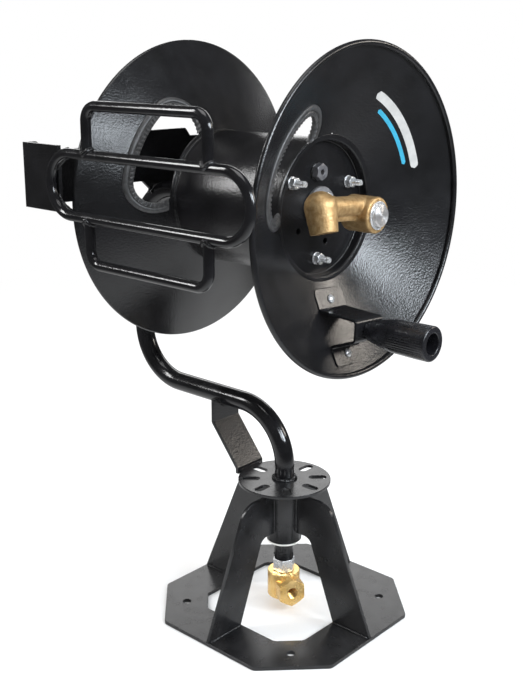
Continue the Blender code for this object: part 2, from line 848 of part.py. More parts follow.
def tie_washer(name, angle):
    y, z = polar(TIE_CIRCLE, angle)
    inner = TIE_RADIUS + GAP
    profile = [
        (TIE_WASHER_RADIUS, TIE_WASHER_THICK),
        (TIE_WASHER_RADIUS, 0),
        (inner, 0),
        (inner, TIE_WASHER_THICK),
    ]
    return turned(name, profile, 16, (side_x(1, HUB_PLATE_OUT + GAP), y, z), ALONG_X)


def tie_nut(name, angle):
    y, z = polar(TIE_CIRCLE, angle)
    from_plate = GAP + TIE_WASHER_THICK + GAP + TIE_NUT_THICK / 2
    place = (side_x(1, HUB_PLATE_OUT + from_plate), y, z)
    return nut(name, TIE_NUT_ACROSS, TIE_NUT_THICK, TIE_RADIUS + GAP, place)


def hub_boss():
    y, z = polar(BOSS_CIRCLE, BOSS_ANGLE)
    place = (side_x(1, HUB_PLATE_OUT + GAP + BOSS_THICK / 2), y, z)
    return nut("hub_boss", BOSS_ACROSS, BOSS_THICK, BOSS_BORE, place)


# --- Outlet --------------------------------------------------------------------------------

def barrel_bore():
    """The barrel's inside: a running bore, two seal grooves and a water chamber."""
    bore = SPINDLE_RADIUS + GAP
    seat = SPINDLE_RADIUS + 2 * RING_WIRE + 3 * GAP
    out = BARREL_OUT_X + CLEARANCE_CUT
    start = BARREL_IN_X - CLEARANCE_CUT
    profile = [(0, out), (bore, out)]
    for high, low, radius in ((0.1405, 0.1372, seat), (0.1320, 0.1120, CHAMBER_RADIUS),
                              (0.1080, 0.1047, seat)):
        profile += [(bore, high), (radius, high), (radius, low), (bore, low)]
    profile += [(bore, start), (0, start)]
    return turned("barrel_bore", profile, 28, rotation=ALONG_X)


def outlet_manifold():
    """The brass barrel on the spindle's end, with a hollow arm towards the hose port."""
    edge = 0.0012
    profile = [
        (0, BARREL_OUT_X),
        (BARREL_RADIUS - edge, BARREL_OUT_X),
        (BARREL_RADIUS, BARREL_OUT_X - edge),
        (BARREL_RADIUS, BARREL_IN_X + 0.006),
        (BARREL_RADIUS - 0.005, BARREL_IN_X),
        (0, BARREL_IN_X),
    ]
    barrel = turned("outlet_manifold", profile, 28, rotation=ALONG_X)
    joint_y = -(OUTLET_REACH - ELBOW_RADIUS - 0.004)
    arm = cylinder("outlet_arm", OUTLET_ARM_RADIUS, -joint_y,
                   (OUTLET_X, joint_y / 2, OUTLET_RISE), ALONG_Y, 20)
    rib_low = OUTLET_RISE - OUTLET_ARM_RADIUS - 0.0065
    rib_high = OUTLET_RISE
    rib = box("outlet_rib", (0.007, -joint_y - 0.004, rib_high - rib_low),
              (OUTLET_X, joint_y / 2 - 0.002, (rib_high + rib_low) / 2))
    passage = cylinder("outlet_passage", OUTLET_BORE, 0.1, (OUTLET_X, -0.062, OUTLET_RISE),
                       ALONG_Y, 16)
    return cut(fuse(barrel, arm, rib), barrel_bore(), passage)


def outlet_elbow():
    """The brass elbow screwed on the arm; its hose port looks down, slightly outwards."""
    centre = Vector((OUTLET_X, -OUTLET_REACH, OUTLET_RISE))
    down = Vector((math.sin(ELBOW_TILT), 0, -math.cos(ELBOW_TILT)))
    tilt = (0, -ELBOW_TILT, 0)
    dome = ball("outlet_elbow", ELBOW_RADIUS, centre)
    profile = [
        (0, 0),
        (ELBOW_RADIUS - 0.0008, 0),
        (ELBOW_END_RADIUS, -ELBOW_DROP),
        (0, -ELBOW_DROP),
    ]
    spout = turned("elbow_spout", profile, 20, centre, tilt)
    neck_end = -(OUTLET_REACH - ELBOW_RADIUS - 0.004) - GAP
    neck_length = OUTLET_REACH + neck_end
    neck = cylinder("elbow_neck", OUTLET_ARM_RADIUS + 0.0015, neck_length,
                    (OUTLET_X, neck_end - neck_length / 2, OUTLET_RISE), ALONG_Y, 20)
    port = cylinder("elbow_port", ELBOW_PORT_BORE, 0.06, centre + down * 0.03, tilt, 16)
    entry = cylinder("elbow_entry", OUTLET_BORE, 0.05, centre + Vector((0, 0.025, 0)), ALONG_Y, 16)
    return cut(fuse(dome, spout, neck), port, entry)


# --- Crank ---------------------------------------------------------------------------------

def dish_point(radius, height):
    """A point over the crank-side dish, as (radius, drum X), at a height along its normal."""
    return Vector((radius - math.sin(DISH_ANGLE) * height,
                   side_x(1, dish_line(radius) + math.cos(DISH_ANGLE) * height)))


def crank_hole(name, radius, bore, length=0.03):
    """A cylinder along the dish's normal; the crank stands straight below the axis."""
    centre = dish_point(radius, 0)
    return cylinder(name, bore, length, (centre.y, 0, -centre.x),
                    (0, math.pi / 2 - DISH_ANGLE, 0), 12)


def crank_bracket(sheet):
    """A hat-shaped folded strip: two feet on the dish and a raised plate for the grip."""
    seat = FLANGE_SHEET / 2 + GAP + CRANK_SHEET / 2
    path = [
        dish_point(0.0985, seat),
        dish_point(0.1245, seat),
        Vector((0.1265, CRANK_PLATE_X)),
        Vector((0.1520, CRANK_PLATE_X)),
        dish_point(0.1655, seat),
        dish_point(0.1885, seat),
    ]
    outline = strip_outline([(axial, -radius) for radius, axial in path], CRANK_SHEET)
    bracket = plate("crank_bracket", [outline], CRANK_WIDTH, rotation=(QUARTER, 0, 0))
    cut(bracket, sheet)
    for i, radius in enumerate(CRANK_SCREWS):
        cut(bracket, crank_hole("bracket_hole_%d" % (i + 1), radius, 0.0029))
    grip_hole = cylinder("bracket_grip_hole", GRIP_BOLT_RADIUS + GAP, 0.02,
                         (CRANK_PLATE_X, 0, -CRANK_RADIUS), ALONG_X, 16)
    return cut(bracket, grip_hole)


def crank_screw(name, radius):
    """A pan-head screw through a bracket foot and the dish."""
    under_head = FLANGE_SHEET / 2 + GAP + CRANK_SHEET + GAP
    head = 0.0052
    shank = 0.0025
    profile = [
        (0, under_head + 0.0032),
        (head * 0.55, under_head + 0.0029),
        (head, under_head + 0.0012),
        (head, under_head),
        (shank, under_head),
        (shank, -0.0095),
        (0, -0.0095),
    ]
    centre = dish_point(radius, 0)
    return turned(name, profile, 16, (centre.y, 0, -centre.x), (0, math.pi / 2 - DISH_ANGLE, 0))


def crank_nut(name, radius):
    place = dish_point(radius, -(FLANGE_SHEET / 2 + 0.0012 + 0.002))
    return nut(name, 0.008, 0.004, 0.0028, (place.y, 0, -place.x),
               (0, math.pi / 2 - DISH_ANGLE, 0))


def grip_bolt():
    """The grip's axle bolt, head inside the grip and thread in the bracket."""
    head = 0.0055
    start = 0.1285
    length = GRIP_SHOULDER_X + GAP - start + head / 2
    shank = cylinder("grip_bolt", GRIP_BOLT_RADIUS, length, (start + length / 2, 0, 0), ALONG_X, 16)
    cap = hexagon("grip_bolt_head", 0.013, head, (GRIP_SHOULDER_X + GAP + head / 2, 0, 0), ALONG_X)
    return fuse(shank, cap)


def grip_nut():
    thickness = 0.0065
    x = CRANK_PLATE_X - CRANK_SHEET / 2 - GAP - thickness / 2
    return nut("grip_nut", 0.013, thickness, GRIP_BOLT_RADIUS + GAP, (x, 0, 0))


def crank_grip():
    """The hollow plastic grip, wider towards its open end."""
    hole = GRIP_BOLT_RADIUS + GAP
    profile = [
        (GRIP_BORE, GRIP_END_X),
        (0.0196, GRIP_END_X),
        (0.0215, GRIP_END_X - 0.0025),
        (0.0213, 0.2130),
        (0.0203, 0.1820),
        (0.0175, 0.1660),
        (0.0120, GRIP_START_X),
        (hole, GRIP_START_X),
        (hole, GRIP_SHOULDER_X),
        (GRIP_BORE, GRIP_SHOULDER_X),
    ]
    return turned("crank_grip", profile, 28, rotation=ALONG_X)


# --- Assembly ------------------------------------------------------------------------------

def build_pedestal(reel, black, nylon):
    body = make_empty("pedestal_origin", (0, 0, 0), parent=reel)
    finish(base_plate(), black, body)
    for i, name in enumerate(("fin_right", "fin_back", "fin_left", "fin_front")):
        finish(fin(name, i * QUARTER), black, body)
    finish(smooth(pivot_sleeve()), black, body)
    finish(smooth(bush("bush_upper", True)), nylon, body)
    finish(smooth(bush("bush_lower", False)), nylon, body)


def build_swivel_frame(reel, black, steel, rubber):
    body = make_empty("swivel_axis", (0, 0, 0), parent=reel)
    finish(smooth(swivel_pipe()), black, body)
    finish(index_plate(), black, body)
    finish(brace_strap(), black, body)
    finish(guide_arm(), black, body)
    finish(guide_loop(), black, body)
    finish(guide_hoop("guide_hoop_upper", LOOP_HIGH, HOOP_TOP), black, body)
    finish(guide_hoop("guide_hoop_lower", LOOP_LOW, HOOP_BOTTOM), black, body)
    finish(smooth(spindle()), steel, body)
    bearing_face = HUB_PLATE_OUT + GAP + BEARING_FLANGE + GAP
    right = side_x(1, bearing_face)
    left = side_x(-1, bearing_face + COLLAR_LENGTH)
    finish(smooth(ring_on_spindle("collar_right", COLLAR_RADIUS, right, COLLAR_LENGTH)), steel, body)
    finish(smooth(ring_on_spindle("collar_left", COLLAR_RADIUS, left, COLLAR_LENGTH)), steel, body)
    wire = SPINDLE_RADIUS + GAP + RING_WIRE
    for name, x in (("outlet_seal_inner", 0.10635), ("outlet_seal_outer", 0.13885)):
        ring = seal_ring(name, wire, (x, 0, DRUM_HEIGHT), ALONG_X)
        finish(smooth(ring), rubber, body)
    finish(snap_ring(), steel, body)
    finish(smooth(inlet_stem()), steel, body)
    finish(smooth(inlet_seal()), rubber, body)


def build_inlet(reel, brass):
    body = make_empty("inlet_axis", (0, 0, 0), (0, 0, INLET_ANGLE), reel)
    finish(smooth(inlet_elbow()), brass, body)


def build_drum(reel, black, steel, rubber, acetal, brass):
    body = make_empty("drum_axis", (0, 0, DRUM_HEIGHT), (PARK_ANGLE, 0, 0), reel)
    finish(smooth(drum_core()), black, body)
    for side, word in ((1, "right"), (-1, "left")):
        cutter = sheet_cutter("sheet_cutter_" + word, side)
        sheet = flange("flange_" + word, side)
        finish(smooth(port_trim("port_trim_" + word, side, cutter)), rubber, body)
        finish(hub_plate("hub_plate_" + word, side), black, body)
        finish(smooth(hub_bearing("hub_bearing_" + word, side)), acetal, body)
        if side > 0:
            for i, radius in enumerate(CRANK_SCREWS):
                cut(sheet, crank_hole("dish_hole_%d" % (i + 1), radius, 0.0029))
            cut(sheet, axial_hole("sight_hole", 0.0035, 0.0945, QUARTER, side))
            finish(crank_bracket(cutter), black, body)
        finish(smooth(sheet), black, body)
    for i, angle in enumerate(TIE_ANGLES):
        number = i + 1
        finish(smooth(tie_bolt("tie_bolt_%d" % number, angle)), steel, body)
        finish(smooth(tie_washer("tie_washer_%d" % number, angle)), steel, body)
        finish(tie_nut("tie_nut_%d" % number, angle), steel, body)
    finish(hub_boss(), black, body)
    finish(smooth(outlet_manifold()), brass, body)
    finish(smooth(outlet_elbow()), brass, body)
    for i, radius in enumerate(CRANK_SCREWS):
        number = i + 1
        finish(smooth(crank_screw("crank_screw_%d" % number, radius)), steel, body)
        finish(crank_nut("crank_nut_%d" % number, radius), steel, body)
    return body


def build_grip(drum, steel, plastic):
    body = make_empty("grip_axis", (0, 0, -CRANK_RADIUS), parent=drum)
    finish(smooth(grip_bolt()), steel, body)
    finish(grip_nut(), steel, body)
    finish(smooth(crank_grip()), plastic, body)


def main():
    black = make_material("black_powder_coat", (0.012, 0.012, 0.013), 0.28, 0.0)
    steel = make_material("zinc_plated_steel", (0.62, 0.62, 0.60), 0.30, 1.0)
    brass = make_material("cast_brass", (0.62, 0.43, 0.19), 0.38, 1.0)
    rubber = make_material("black_rubber", (0.03, 0.03, 0.03), 0.75, 0.0)
    nylon = make_material("white_nylon", (0.82, 0.82, 0.80), 0.45, 0.0)
    acetal = make_material("grey_acetal", (0.22, 0.22, 0.23), 0.45, 0.0)
    plastic = make_material("black_plastic", (0.02, 0.02, 0.022), 0.42, 0.0)
    reel = make_empty("reel_place", (SWIVEL_X, SWIVEL_Y, 0))
    build_pedestal(reel, black, nylon)
    build_swivel_frame(reel, black, steel, rubber)
    build_inlet(reel, brass)
    drum = build_drum(reel, black, steel, rubber, acetal, brass)
    build_grip(drum, steel, plastic)


empty_scene()
PARTS = make_collection("hose_reel")
CUTTERS = make_collection("cutters")
main()
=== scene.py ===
"""The fine visual model of the hose reel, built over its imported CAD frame."""

import json
import math
import random

import bmesh
import bpy
from mathutils import Euler, Matrix, Vector


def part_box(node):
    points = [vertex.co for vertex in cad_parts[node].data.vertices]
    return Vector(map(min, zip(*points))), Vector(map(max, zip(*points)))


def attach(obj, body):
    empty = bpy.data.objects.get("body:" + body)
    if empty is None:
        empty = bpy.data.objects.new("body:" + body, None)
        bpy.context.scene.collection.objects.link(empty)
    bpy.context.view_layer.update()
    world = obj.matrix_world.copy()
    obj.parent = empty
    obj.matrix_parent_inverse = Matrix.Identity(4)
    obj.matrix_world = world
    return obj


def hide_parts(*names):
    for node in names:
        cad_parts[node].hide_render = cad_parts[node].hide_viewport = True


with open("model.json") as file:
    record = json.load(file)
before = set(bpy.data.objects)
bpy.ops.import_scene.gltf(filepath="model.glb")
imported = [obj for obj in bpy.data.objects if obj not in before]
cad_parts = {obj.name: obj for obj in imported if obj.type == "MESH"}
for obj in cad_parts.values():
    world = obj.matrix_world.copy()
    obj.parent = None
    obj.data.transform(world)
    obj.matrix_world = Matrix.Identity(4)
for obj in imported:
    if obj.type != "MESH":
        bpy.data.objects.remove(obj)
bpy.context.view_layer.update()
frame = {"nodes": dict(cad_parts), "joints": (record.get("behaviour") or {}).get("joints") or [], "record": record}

# --- Sizes, in metres ---

INCH = 0.0254
GAP = 0.0003
FULL_TURN = 2 * math.pi
QUARTER = math.pi / 2
WELD = 0.0021
WELD_INSET = 0.002
ORIGIN = Matrix.Identity(4)

BASE_SIDE = 12 * INCH
BASE_FLAT = 0.164
BASE_CORNER = 0.009
BASE_THICK = 0.005
OPENING_SIDE = 0.179
OPENING_FLAT = 0.123
ANCHOR_PITCH = 0.193
ANCHOR_HOLE = 0.0055
FIN_THICK = 0.005
FIN_FOOT_OUT = 0.152
FIN_FOOT_IN = 0.0905
FIN_SHOULDER = Vector((0.0795, 0.174))
FIN_CROTCH = Vector((0.0474, 0.116))
FIN_SHOULDER_BEND = 0.029
FIN_CROTCH_BEND = 0.013
SLEEVE_RADIUS = 0.02415
SLEEVE_BORE = 0.02045
SLEEVE_BOTTOM = 0.1010
SLEEVE_TOP = 0.1827
BUSH_FLANGE = 0.0027
BUSH_DEPTH = 0.020

PIPE_RADIUS = 1.05 * INCH / 2
PIPE_BEND = 3 * INCH
PIPE_FOOT = 0.0705
PIPE_RUN = 0.2835
PIPE_RISER_X = -0.2805
PIPE_END_X = -0.160
PLATE_RADIUS = 2.5 * INCH
PLATE_TOP = 0.1897
PLATE_THICK = 0.004
SLOTS = 8
SLOT_WIDTH = 0.0115
SLOT_INNER = 0.0337
SLOT_OUTER = 0.0578
STRAP_WIDTH = 2 * INCH
STRAP_THICK = 0.005
STRAP_TAB_X = -0.1128
STRAP_TAB_LOW = 0.2494
STRAP_RIM_HIGH = 0.1925
STRAP_BEND = 0.0032
ARM_X = -0.245
ARM_THICK = 0.005
ARM_LOW = 0.563
ARM_HIGH = 0.645
ARM_SADDLE = 0.556
BRACKET_X = -0.176

ROD_RADIUS = INCH / 4
GUIDE_Y = -0.230
LOOP_ENDS = (-0.1830, 0.1508)
LOOP_HEIGHTS = (0.563, 0.638)
HOOP_SIDES = (-0.111, 0.0895)
HOOP_HEIGHTS = {"guide_hoop_lower": 0.508, "guide_hoop_upper": 0.695}
HOOP_BEND = 0.018

DRUM_MIDDLE_X = -0.02635
CORE_RADIUS = 0.087
CORE_BORE = 0.084
CORE_HALF = 0.09035
FLANGE_RADIUS = 8 * INCH
FLANGE_SHEET = 0.002
BEAD_RADIUS = 0.0035
DISH_SLOPE = 0.51
DISH_ANGLE = math.atan(DISH_SLOPE)
HUB_OUT = 0.07935
HUB_THICK = 0.004
HUB_BORE = 0.0205
BEARING_RADIUS = 0.027
BEARING_FLANGE = 0.0053
BEARING_DEPTH = 0.018
PORT_MIDDLE = math.radians(150)
PORT_PITCH_RADIUS = 0.112
PORT_END_ANGLE = math.radians(21.5)
PORT_INNER = 0.091
PORT_HALF = 0.0265
TRIM_OUTSIDE = 0.0115
TRIM_INSIDE = 0.002
TRIM_HEIGHT = 0.0075
RIB_SHARE = 0.42
TIE_CIRCLE = 0.0635
TIE_RADIUS = 5 / 32 * INCH
TIE_ANGLES = [math.radians(a) for a in (30, 150, 270)]
TIE_TIP = 0.1020
TIE_HEX = 0.5 * INCH
TIE_HEAD = 0.0053
TIE_NUT = 0.0068
WASHER_RADIUS = 0.008
WASHER_THICK = 0.0016
BOSS_ANGLE = math.radians(101)
BOSS_CIRCLE = 0.0460
BOSS_ACROSS = 0.019
BOSS_THICK = 0.0103
BOSS_BORE = 0.0032
DRAIN_RADIUS = 0.004
DRAIN_ANGLES = [math.radians(a) for a in (217, 292)]
BARREL_IN_X = 0.100
BARREL_OUT_X = 0.1435
BARREL_RADIUS = 0.0218
SPINDLE_FACE_X = 0.1505
SPINDLE_CHAMFER = 0.0014
COLLAR_RADIUS = 0.0203
GROOVE_WIDTH = 0.0022
GROOVE_DEPTH = 0.0015
SNAP_RADIUS = 0.0172
SNAP_THICK = 0.0016
OUTLET_X = 0.1245
OUTLET_RISE = 0.0105
OUTLET_ARM_RADIUS = 0.0115
OUTLET_REACH = 0.086
ELBOW_RADIUS = 0.0188
ELBOW_DROP = 0.0295
ELBOW_END_RADIUS = 0.0160
ELBOW_TILT = math.radians(15)
CAST_GROWTH = 0.0003
CAST_VOXEL = 0.0009
CRANK_WIDTH = 0.054
CRANK_SHEET = 0.003
CRANK_PLATE_X = 0.1415
CRANK_SCREWS = (0.1130, 0.1760)
CRANK_FEET = (0.0985, 0.1245, 0.1655, 0.1885)
CRANK_FOLDS = (0.1265, 0.1520)
CRANK_BEND = 0.0042
CRANK_CORNER = 0.0065
SCREW_RADIUS = 0.0025
SCREW_HEAD = 0.0034
SCREW_TIP = -0.0095
SCREW_HEX = 0.008
SCREW_NUT = 0.004
GRIP_END_X = 0.2345
GRIP_BORE = 0.013
GRIP_SHOULDER_X = 0.160
GRIP_HEX = 0.013
GRIP_HEAD = 0.0055
GRIP_NUT = 0.0065
GRIP_BOLT_RADIUS = 0.004
GRIP_GROOVES_X = 0.1720
GRIP_GROOVE_DEPTH = 0.0012

STEM_ACROSS = 0.0272
STEM_HEX_LOW = 0.0525
STEM_LOW = 0.028
STEM_RADIUS = 0.009
INLET_BODY_RADIUS = 0.0225
INLET_LOW = 0.0150
INLET_PORT_HEIGHT = 0.0325
INLET_PORT_REACH = 0.036
INLET_PORT_ACROSS = 0.0355
INLET_ANGLE = math.radians(-29)

# --- Places: every shape is drawn from its own body's axis ---

JOINT_AT = {joint["name"]: Vector(joint["pos_m"]) for joint in frame["joints"]}
SWIVEL = JOINT_AT["reel_swivel"]
DRUM = JOINT_AT["drum_spin"]
CRANK = JOINT_AT["grip_spin"]
CRANK_RADIUS = (CRANK - DRUM).yz.length
PARK_ANGLE = math.atan2(CRANK.y - DRUM.y, DRUM.z - CRANK.z)
FLOOR_PLACE = Matrix.Translation((SWIVEL.x, SWIVEL.y, 0))
DRUM_PLACE = Matrix.Translation((SWIVEL.x, DRUM.y, DRUM.z)) @ Matrix.Rotation(PARK_ANGLE, 4, "X")
PLACES = {
    "pedestal": FLOOR_PLACE,
    "swivel_frame": FLOOR_PLACE,
    "inlet": FLOOR_PLACE @ Matrix.Rotation(INLET_ANGLE, 4, "Z"),
    "drum": DRUM_PLACE,
    "grip": DRUM_PLACE @ Matrix.Translation((0, 0, -CRANK_RADIUS)),
}
SPINDLE_HEIGHT = DRUM.z


def local(location=(0, 0, 0), rotation=(0, 0, 0)):
    return Matrix.Translation(location) @ Euler(rotation).to_matrix().to_4x4()


ALONG_X = (0, QUARTER, 0)
ALONG_Y = (-QUARTER, 0, 0)
FACING_X = (QUARTER, 0, QUARTER)


# --- Outlines ---

def polar(radius, angle):
    return Vector((radius * math.cos(angle), radius * math.sin(angle)))


def arc(centre, radius, start, end, count=16):
    """Points on an arc, both ends included."""
    step = (end - start) / (count - 1)
    return [Vector(centre) + polar(radius, start + step * i) for i in range(count)]


def circle(centre, radius, count=48):
    return arc(centre, radius, 0, FULL_TURN, count + 1)[:-1]


def rounded(corners, radii, count=8):
    """A closed outline with its corners turned into arcs; radii is one size or one per corner."""
    if not isinstance(radii, (list, tuple)):
        radii = [radii] * len(corners)
    points = []
    for i, corner in enumerate(corners):
        corner = Vector(corner)
        before = Vector(corners[i - 1]) - corner
        after = Vector(corners[(i + 1) % len(corners)]) - corner
        radius = radii[i]
        half = before.angle(after) / 2
        if radius == 0 or half > math.radians(89):
            points.append(corner)
            continue
        before.normalize()
        after.normalize()
        centre = corner + (before + after).normalized() * (radius / math.sin(half))
        first = corner + before * (radius / math.tan(half)) - centre
        last = corner + after * (radius / math.tan(half)) - centre
        start = math.atan2(first.y, first.x)
        sweep = math.remainder(math.atan2(last.y, last.x) - start, FULL_TURN)
        points += arc(centre, radius, start, start + sweep, count)
    return points


def bent(points, radius, count=12):
    """An open path whose inner corners are bent to a radius."""
    path = [Vector(point) for point in points]
    radii = [0] + [radius] * (len(path) - 2) + [0]
    return rounded(path, radii, count)


def strip_outline(path, thickness):
    """The closed outline of a folded strip with mitred corners, from its middle line."""
    left = []
    right = []
    for i, point in enumerate(path):
        back = (point - path[i - 1]).normalized() if i else None
        ahead = (path[i + 1] - point).normalized() if i + 1 < len(path) else None
        back = back or ahead
        ahead = ahead or back
        normal = Vector((-back.y - ahead.y, back.x + ahead.x)).normalized()
        mitre = thickness / 2 / normal.dot(Vector((-back.y, back.x)))
        left.append(point + normal * mitre)
        right.append(point - normal * mitre)
    return left + right[::-1]


def clipped_square(side, flat, radius):
    corners = []
    for quarter in range(4):
        turn = quarter * QUARTER
        for across in (-flat / 2, flat / 2):
            corners.append(polar(side / 2, turn) + polar(across, turn + QUARTER))
    return rounded(corners, radius)


def port_outline(half_width, inner, count=24):
    """The hose port's curved opening round the hub, cut off at the inner radius."""
    pitch = PORT_PITCH_RADIUS
    inner = max(inner, pitch - half_width)
    reach = (pitch ** 2 + half_width ** 2 - inner ** 2) / (2 * pitch * half_width)
    first = math.acos(min(reach, 1))
    low_end = PORT_MIDDLE - PORT_END_ANGLE
    high_end = PORT_MIDDLE + PORT_END_ANGLE
    low = arc(polar(pitch, low_end), half_width, low_end + first - math.pi, low_end, count)
    high = arc(polar(pitch, high_end), half_width, high_end, high_end + math.pi - first, count)
    outer = arc((0, 0), pitch + half_width, low_end, high_end, count)
    start = math.atan2(high[-1].y, high[-1].x) % FULL_TURN
    end = math.atan2(low[0].y, low[0].x) % FULL_TURN
    return low + outer[1:-1] + high + arc((0, 0), inner, start, end, count)[1:-1]


# --- Shapes ---

def link(name, data, place=ORIGIN):
    obj = bpy.data.objects.new(name, data)
    obj.matrix_world = place
    bpy.context.scene.collection.objects.link(obj)
    return obj


def shade(obj, angle=32):
    obj.data.shade_smooth()
    obj.data.set_sharp_from_angle(angle=math.radians(angle))
    return obj


def mesh_object(name, points, faces, place=ORIGIN):
    mesh = bpy.data.meshes.new(name)
    mesh.from_pydata(points, [], faces)
    work = bmesh.new()
    work.from_mesh(mesh)
    bmesh.ops.recalc_face_normals(work, faces=work.faces)
    work.to_mesh(mesh)
    work.free()
    return shade(link(name, mesh, place))


def turned(name, profile, place=ORIGIN, steps=96):
    """A closed (radius, height) outline turned about local Z; a zero radius is on the axis."""
    points = []
    rings = []
    for radius, height in profile:
        first = len(points)
        if radius == 0:
            points.append((0, 0, height))
            rings.append([first] * steps)
            continue
        for k in range(steps):
            x, y = polar(radius, k * FULL_TURN / steps)
            points.append((x, y, height))
        rings.append(range(first, first + steps))
    faces = []
    for i, high in enumerate(rings):
        low = rings[i - 1]
        for k in range(steps):
            face = list(dict.fromkeys((low[k - 1], low[k], high[k], high[k - 1])))
            if len(face) > 2:
                faces.append(face)
    return mesh_object(name, points, faces, place)


def sheet(name, outlines, thickness, place=ORIGIN, edge=0.0005):
    """A flat plate from 2D outlines, with its edges rounded."""
    curve = bpy.data.curves.new(name, "CURVE")
    curve.dimensions = "2D"
    curve.fill_mode = "BOTH"
    curve.extrude = thickness / 2 - edge
    curve.bevel_depth = edge
    curve.offset = -edge
    curve.bevel_resolution = 2
    for outline in outlines:
        spline = curve.splines.new("POLY")
        spline.points.add(len(outline) - 1)
        spline.use_cyclic_u = True
        for target, point in zip(spline.points, outline):
            target.co = (point[0], point[1], 0, 1)
    return link(name, curve, place)


def tube(name, paths, radius, closed=False, place=ORIGIN, resolution=10):
    """Round rods along paths of points; a fourth number scales the radius at that point."""
    curve = bpy.data.curves.new(name, "CURVE")
    curve.dimensions = "3D"
    curve.bevel_depth = radius
    curve.bevel_resolution = resolution
    curve.use_fill_caps = not closed
    for path in paths:
        spline = curve.splines.new("POLY")
        spline.points.add(len(path) - 1)
        spline.use_cyclic_u = closed
        for target, point in zip(spline.points, path):
            target.co = (*point[:3], 1)
            target.radius = point[3] if len(point) > 3 else 1
    return link(name, curve, place)


def solid(obj):
    """The same object as a plain closed mesh, with its modifiers applied."""
    bpy.context.view_layer.update()
    evaluated = obj.evaluated_get(bpy.context.evaluated_depsgraph_get())
    mesh = bpy.data.meshes.new_from_object(evaluated)
    work = bmesh.new()
    work.from_mesh(mesh)
    bmesh.ops.remove_doubles(work, verts=work.verts, dist=0.000005)
    work.to_mesh(mesh)
    work.free()
    place = obj.matrix_world.copy()
    name = obj.name
    bpy.data.objects.remove(obj, do_unlink=True)
    return link(name, mesh, place)


def combine(obj, others, operation):
    """Boolean with each of the others, which are used up."""
    if obj.type == "CURVE":
        obj = solid(obj)
    cutters = [solid(other) if other.type == "CURVE" else other for other in others]
    for cutter in cutters:
        modifier = obj.modifiers.new("work", "BOOLEAN")
        modifier.object = cutter
        modifier.operation = operation
        modifier.solver = "EXACT"
    result = solid(obj)
    for cutter in cutters:
        bpy.data.objects.remove(cutter, do_unlink=True)
    return shade(result)


def cut(obj, *cutters):
    return combine(obj, cutters, "DIFFERENCE")


def join(obj, *others):
    return combine(obj, others, "UNION")


def cylinder(name, radius, length, place, sides=48, edge=0.0):
    half = length / 2
    profile = [(0, half), *rounded_end(radius, half, edge), *rounded_end(radius, -half, edge),
               (0, -half)]
    return turned(name, profile, place, sides)


def rounded_end(radius, height, edge):
    """The corner of a turned profile at one end of a cylinder."""
    if edge == 0:
        return [(radius, height)]
    way = math.copysign(1, height)
    corner = arc((radius - edge, height - way * edge), edge, way * QUARTER, 0, 5)
    return corner if way > 0 else corner[::-1]


def hexagon(name, across, length, place, bore=0.0):
    """A hex with its corners turned off at both ends, and a bore with a small lead-in."""
    tip = across / math.sqrt(3)
    half = length / 2
    body = turned(name, [(0, half), (tip, half), (tip, -half), (0, -half)], place, 6)
    drop = (tip - across / 2) * 0.62
    low = across / 2 * 0.985
    wide = tip * 1.02
    barrel = [(0, half), (low, half), (wide, half - drop), (wide, drop - half), (low, -half),
              (0, -half)]
    body = combine(body, [turned(name + "_turned", barrel, place, 64)], "INTERSECT")
    if bore:
        lead = bore + 0.0006
        far = half + 0.001
        hole = [(0, far), (lead + 0.001, far), (bore, half - 0.0006), (bore, 0.0006 - half),
                (lead + 0.001, -far), (0, -far)]
        body = cut(body, turned(name + "_bore", hole, place, 48))
    body.modifiers.new("edge", "BEVEL").width = 0.00025
    return body


def thread(radius, depth, start, end, pitch):
    """The profile of a threaded length, from start to end."""
    points = []
    count = max(1, round(abs(end - start) / pitch))
    step = (end - start) / count
    for i in range(count):
        at = start + i * step
        points += [(radius - depth, at), (radius, at + step * 0.4), (radius, at + step * 0.6)]
    return points + [(radius - depth, end)]


def weld(name, body, paths, size, seed, closed=False, place=ORIGIN, look_name="gloss"):
    """A laid weld bead along each path, in overlapping ripples."""
    dice = random.Random(seed)
    ripple = 0.0022
    steps = 4
    beads = []
    for path in paths:
        points = even_steps([Vector(point) for point in path], ripple / steps, closed)
        bead = []
        lump = 1.0
        for i, point in enumerate(points):
            if i % steps == 0:
                lump = dice.uniform(0.9, 1.15)
            swell = lump * (1 - 0.16 * (i % steps) / (steps - 1))
            if not closed:
                swell *= min(1, 0.35 + 0.3 * min(i, len(points) - 1 - i))
            drift = Vector([dice.uniform(-1, 1) for _ in range(3)]) * size * 0.05
            bead.append((*(point + drift), swell))
        beads.append(bead)
    finish(tube(name, beads, size, closed, place, 4), body, look_name)


def crisp(obj):
    """Keep the flat faces flat next to small bends."""
    obj.modifiers.new("crisp", "WEIGHTED_NORMAL").keep_sharp = True
    return obj


def ease(obj, width, segments=1):
    """Round off the sharp edges."""
    edge = obj.modifiers.new("edge", "BEVEL")
    edge.width = width
    edge.segments = segments
    edge.angle_limit = math.radians(50)
    return obj


def ring_section(outer, inner, low, high, soft, count=4):
    """A ring's section for turned(); soft is one corner radius, or one each with the outer first."""
    return rounded([(outer, high), (outer, low), (inner, low), (inner, high)], soft, count)


def even_steps(path, step, closed):
    """Points at even steps along a path."""
    if closed:
        path = path + path[:1]
    points = []
    left = 0.0
    for start, end in zip(path, path[1:]):
        length = (end - start).length
        while left < length:
            points.append(start.lerp(end, left / length))
            left += step
        left -= length
    return points


def dish_line(radius):
    """Distance of the dish sheet's middle surface from the drum's middle plane."""
    return CORE_HALF + DISH_SLOPE * (radius - CORE_RADIUS)


def side_x(side, from_middle):
    return DRUM_MIDDLE_X + side * from_middle


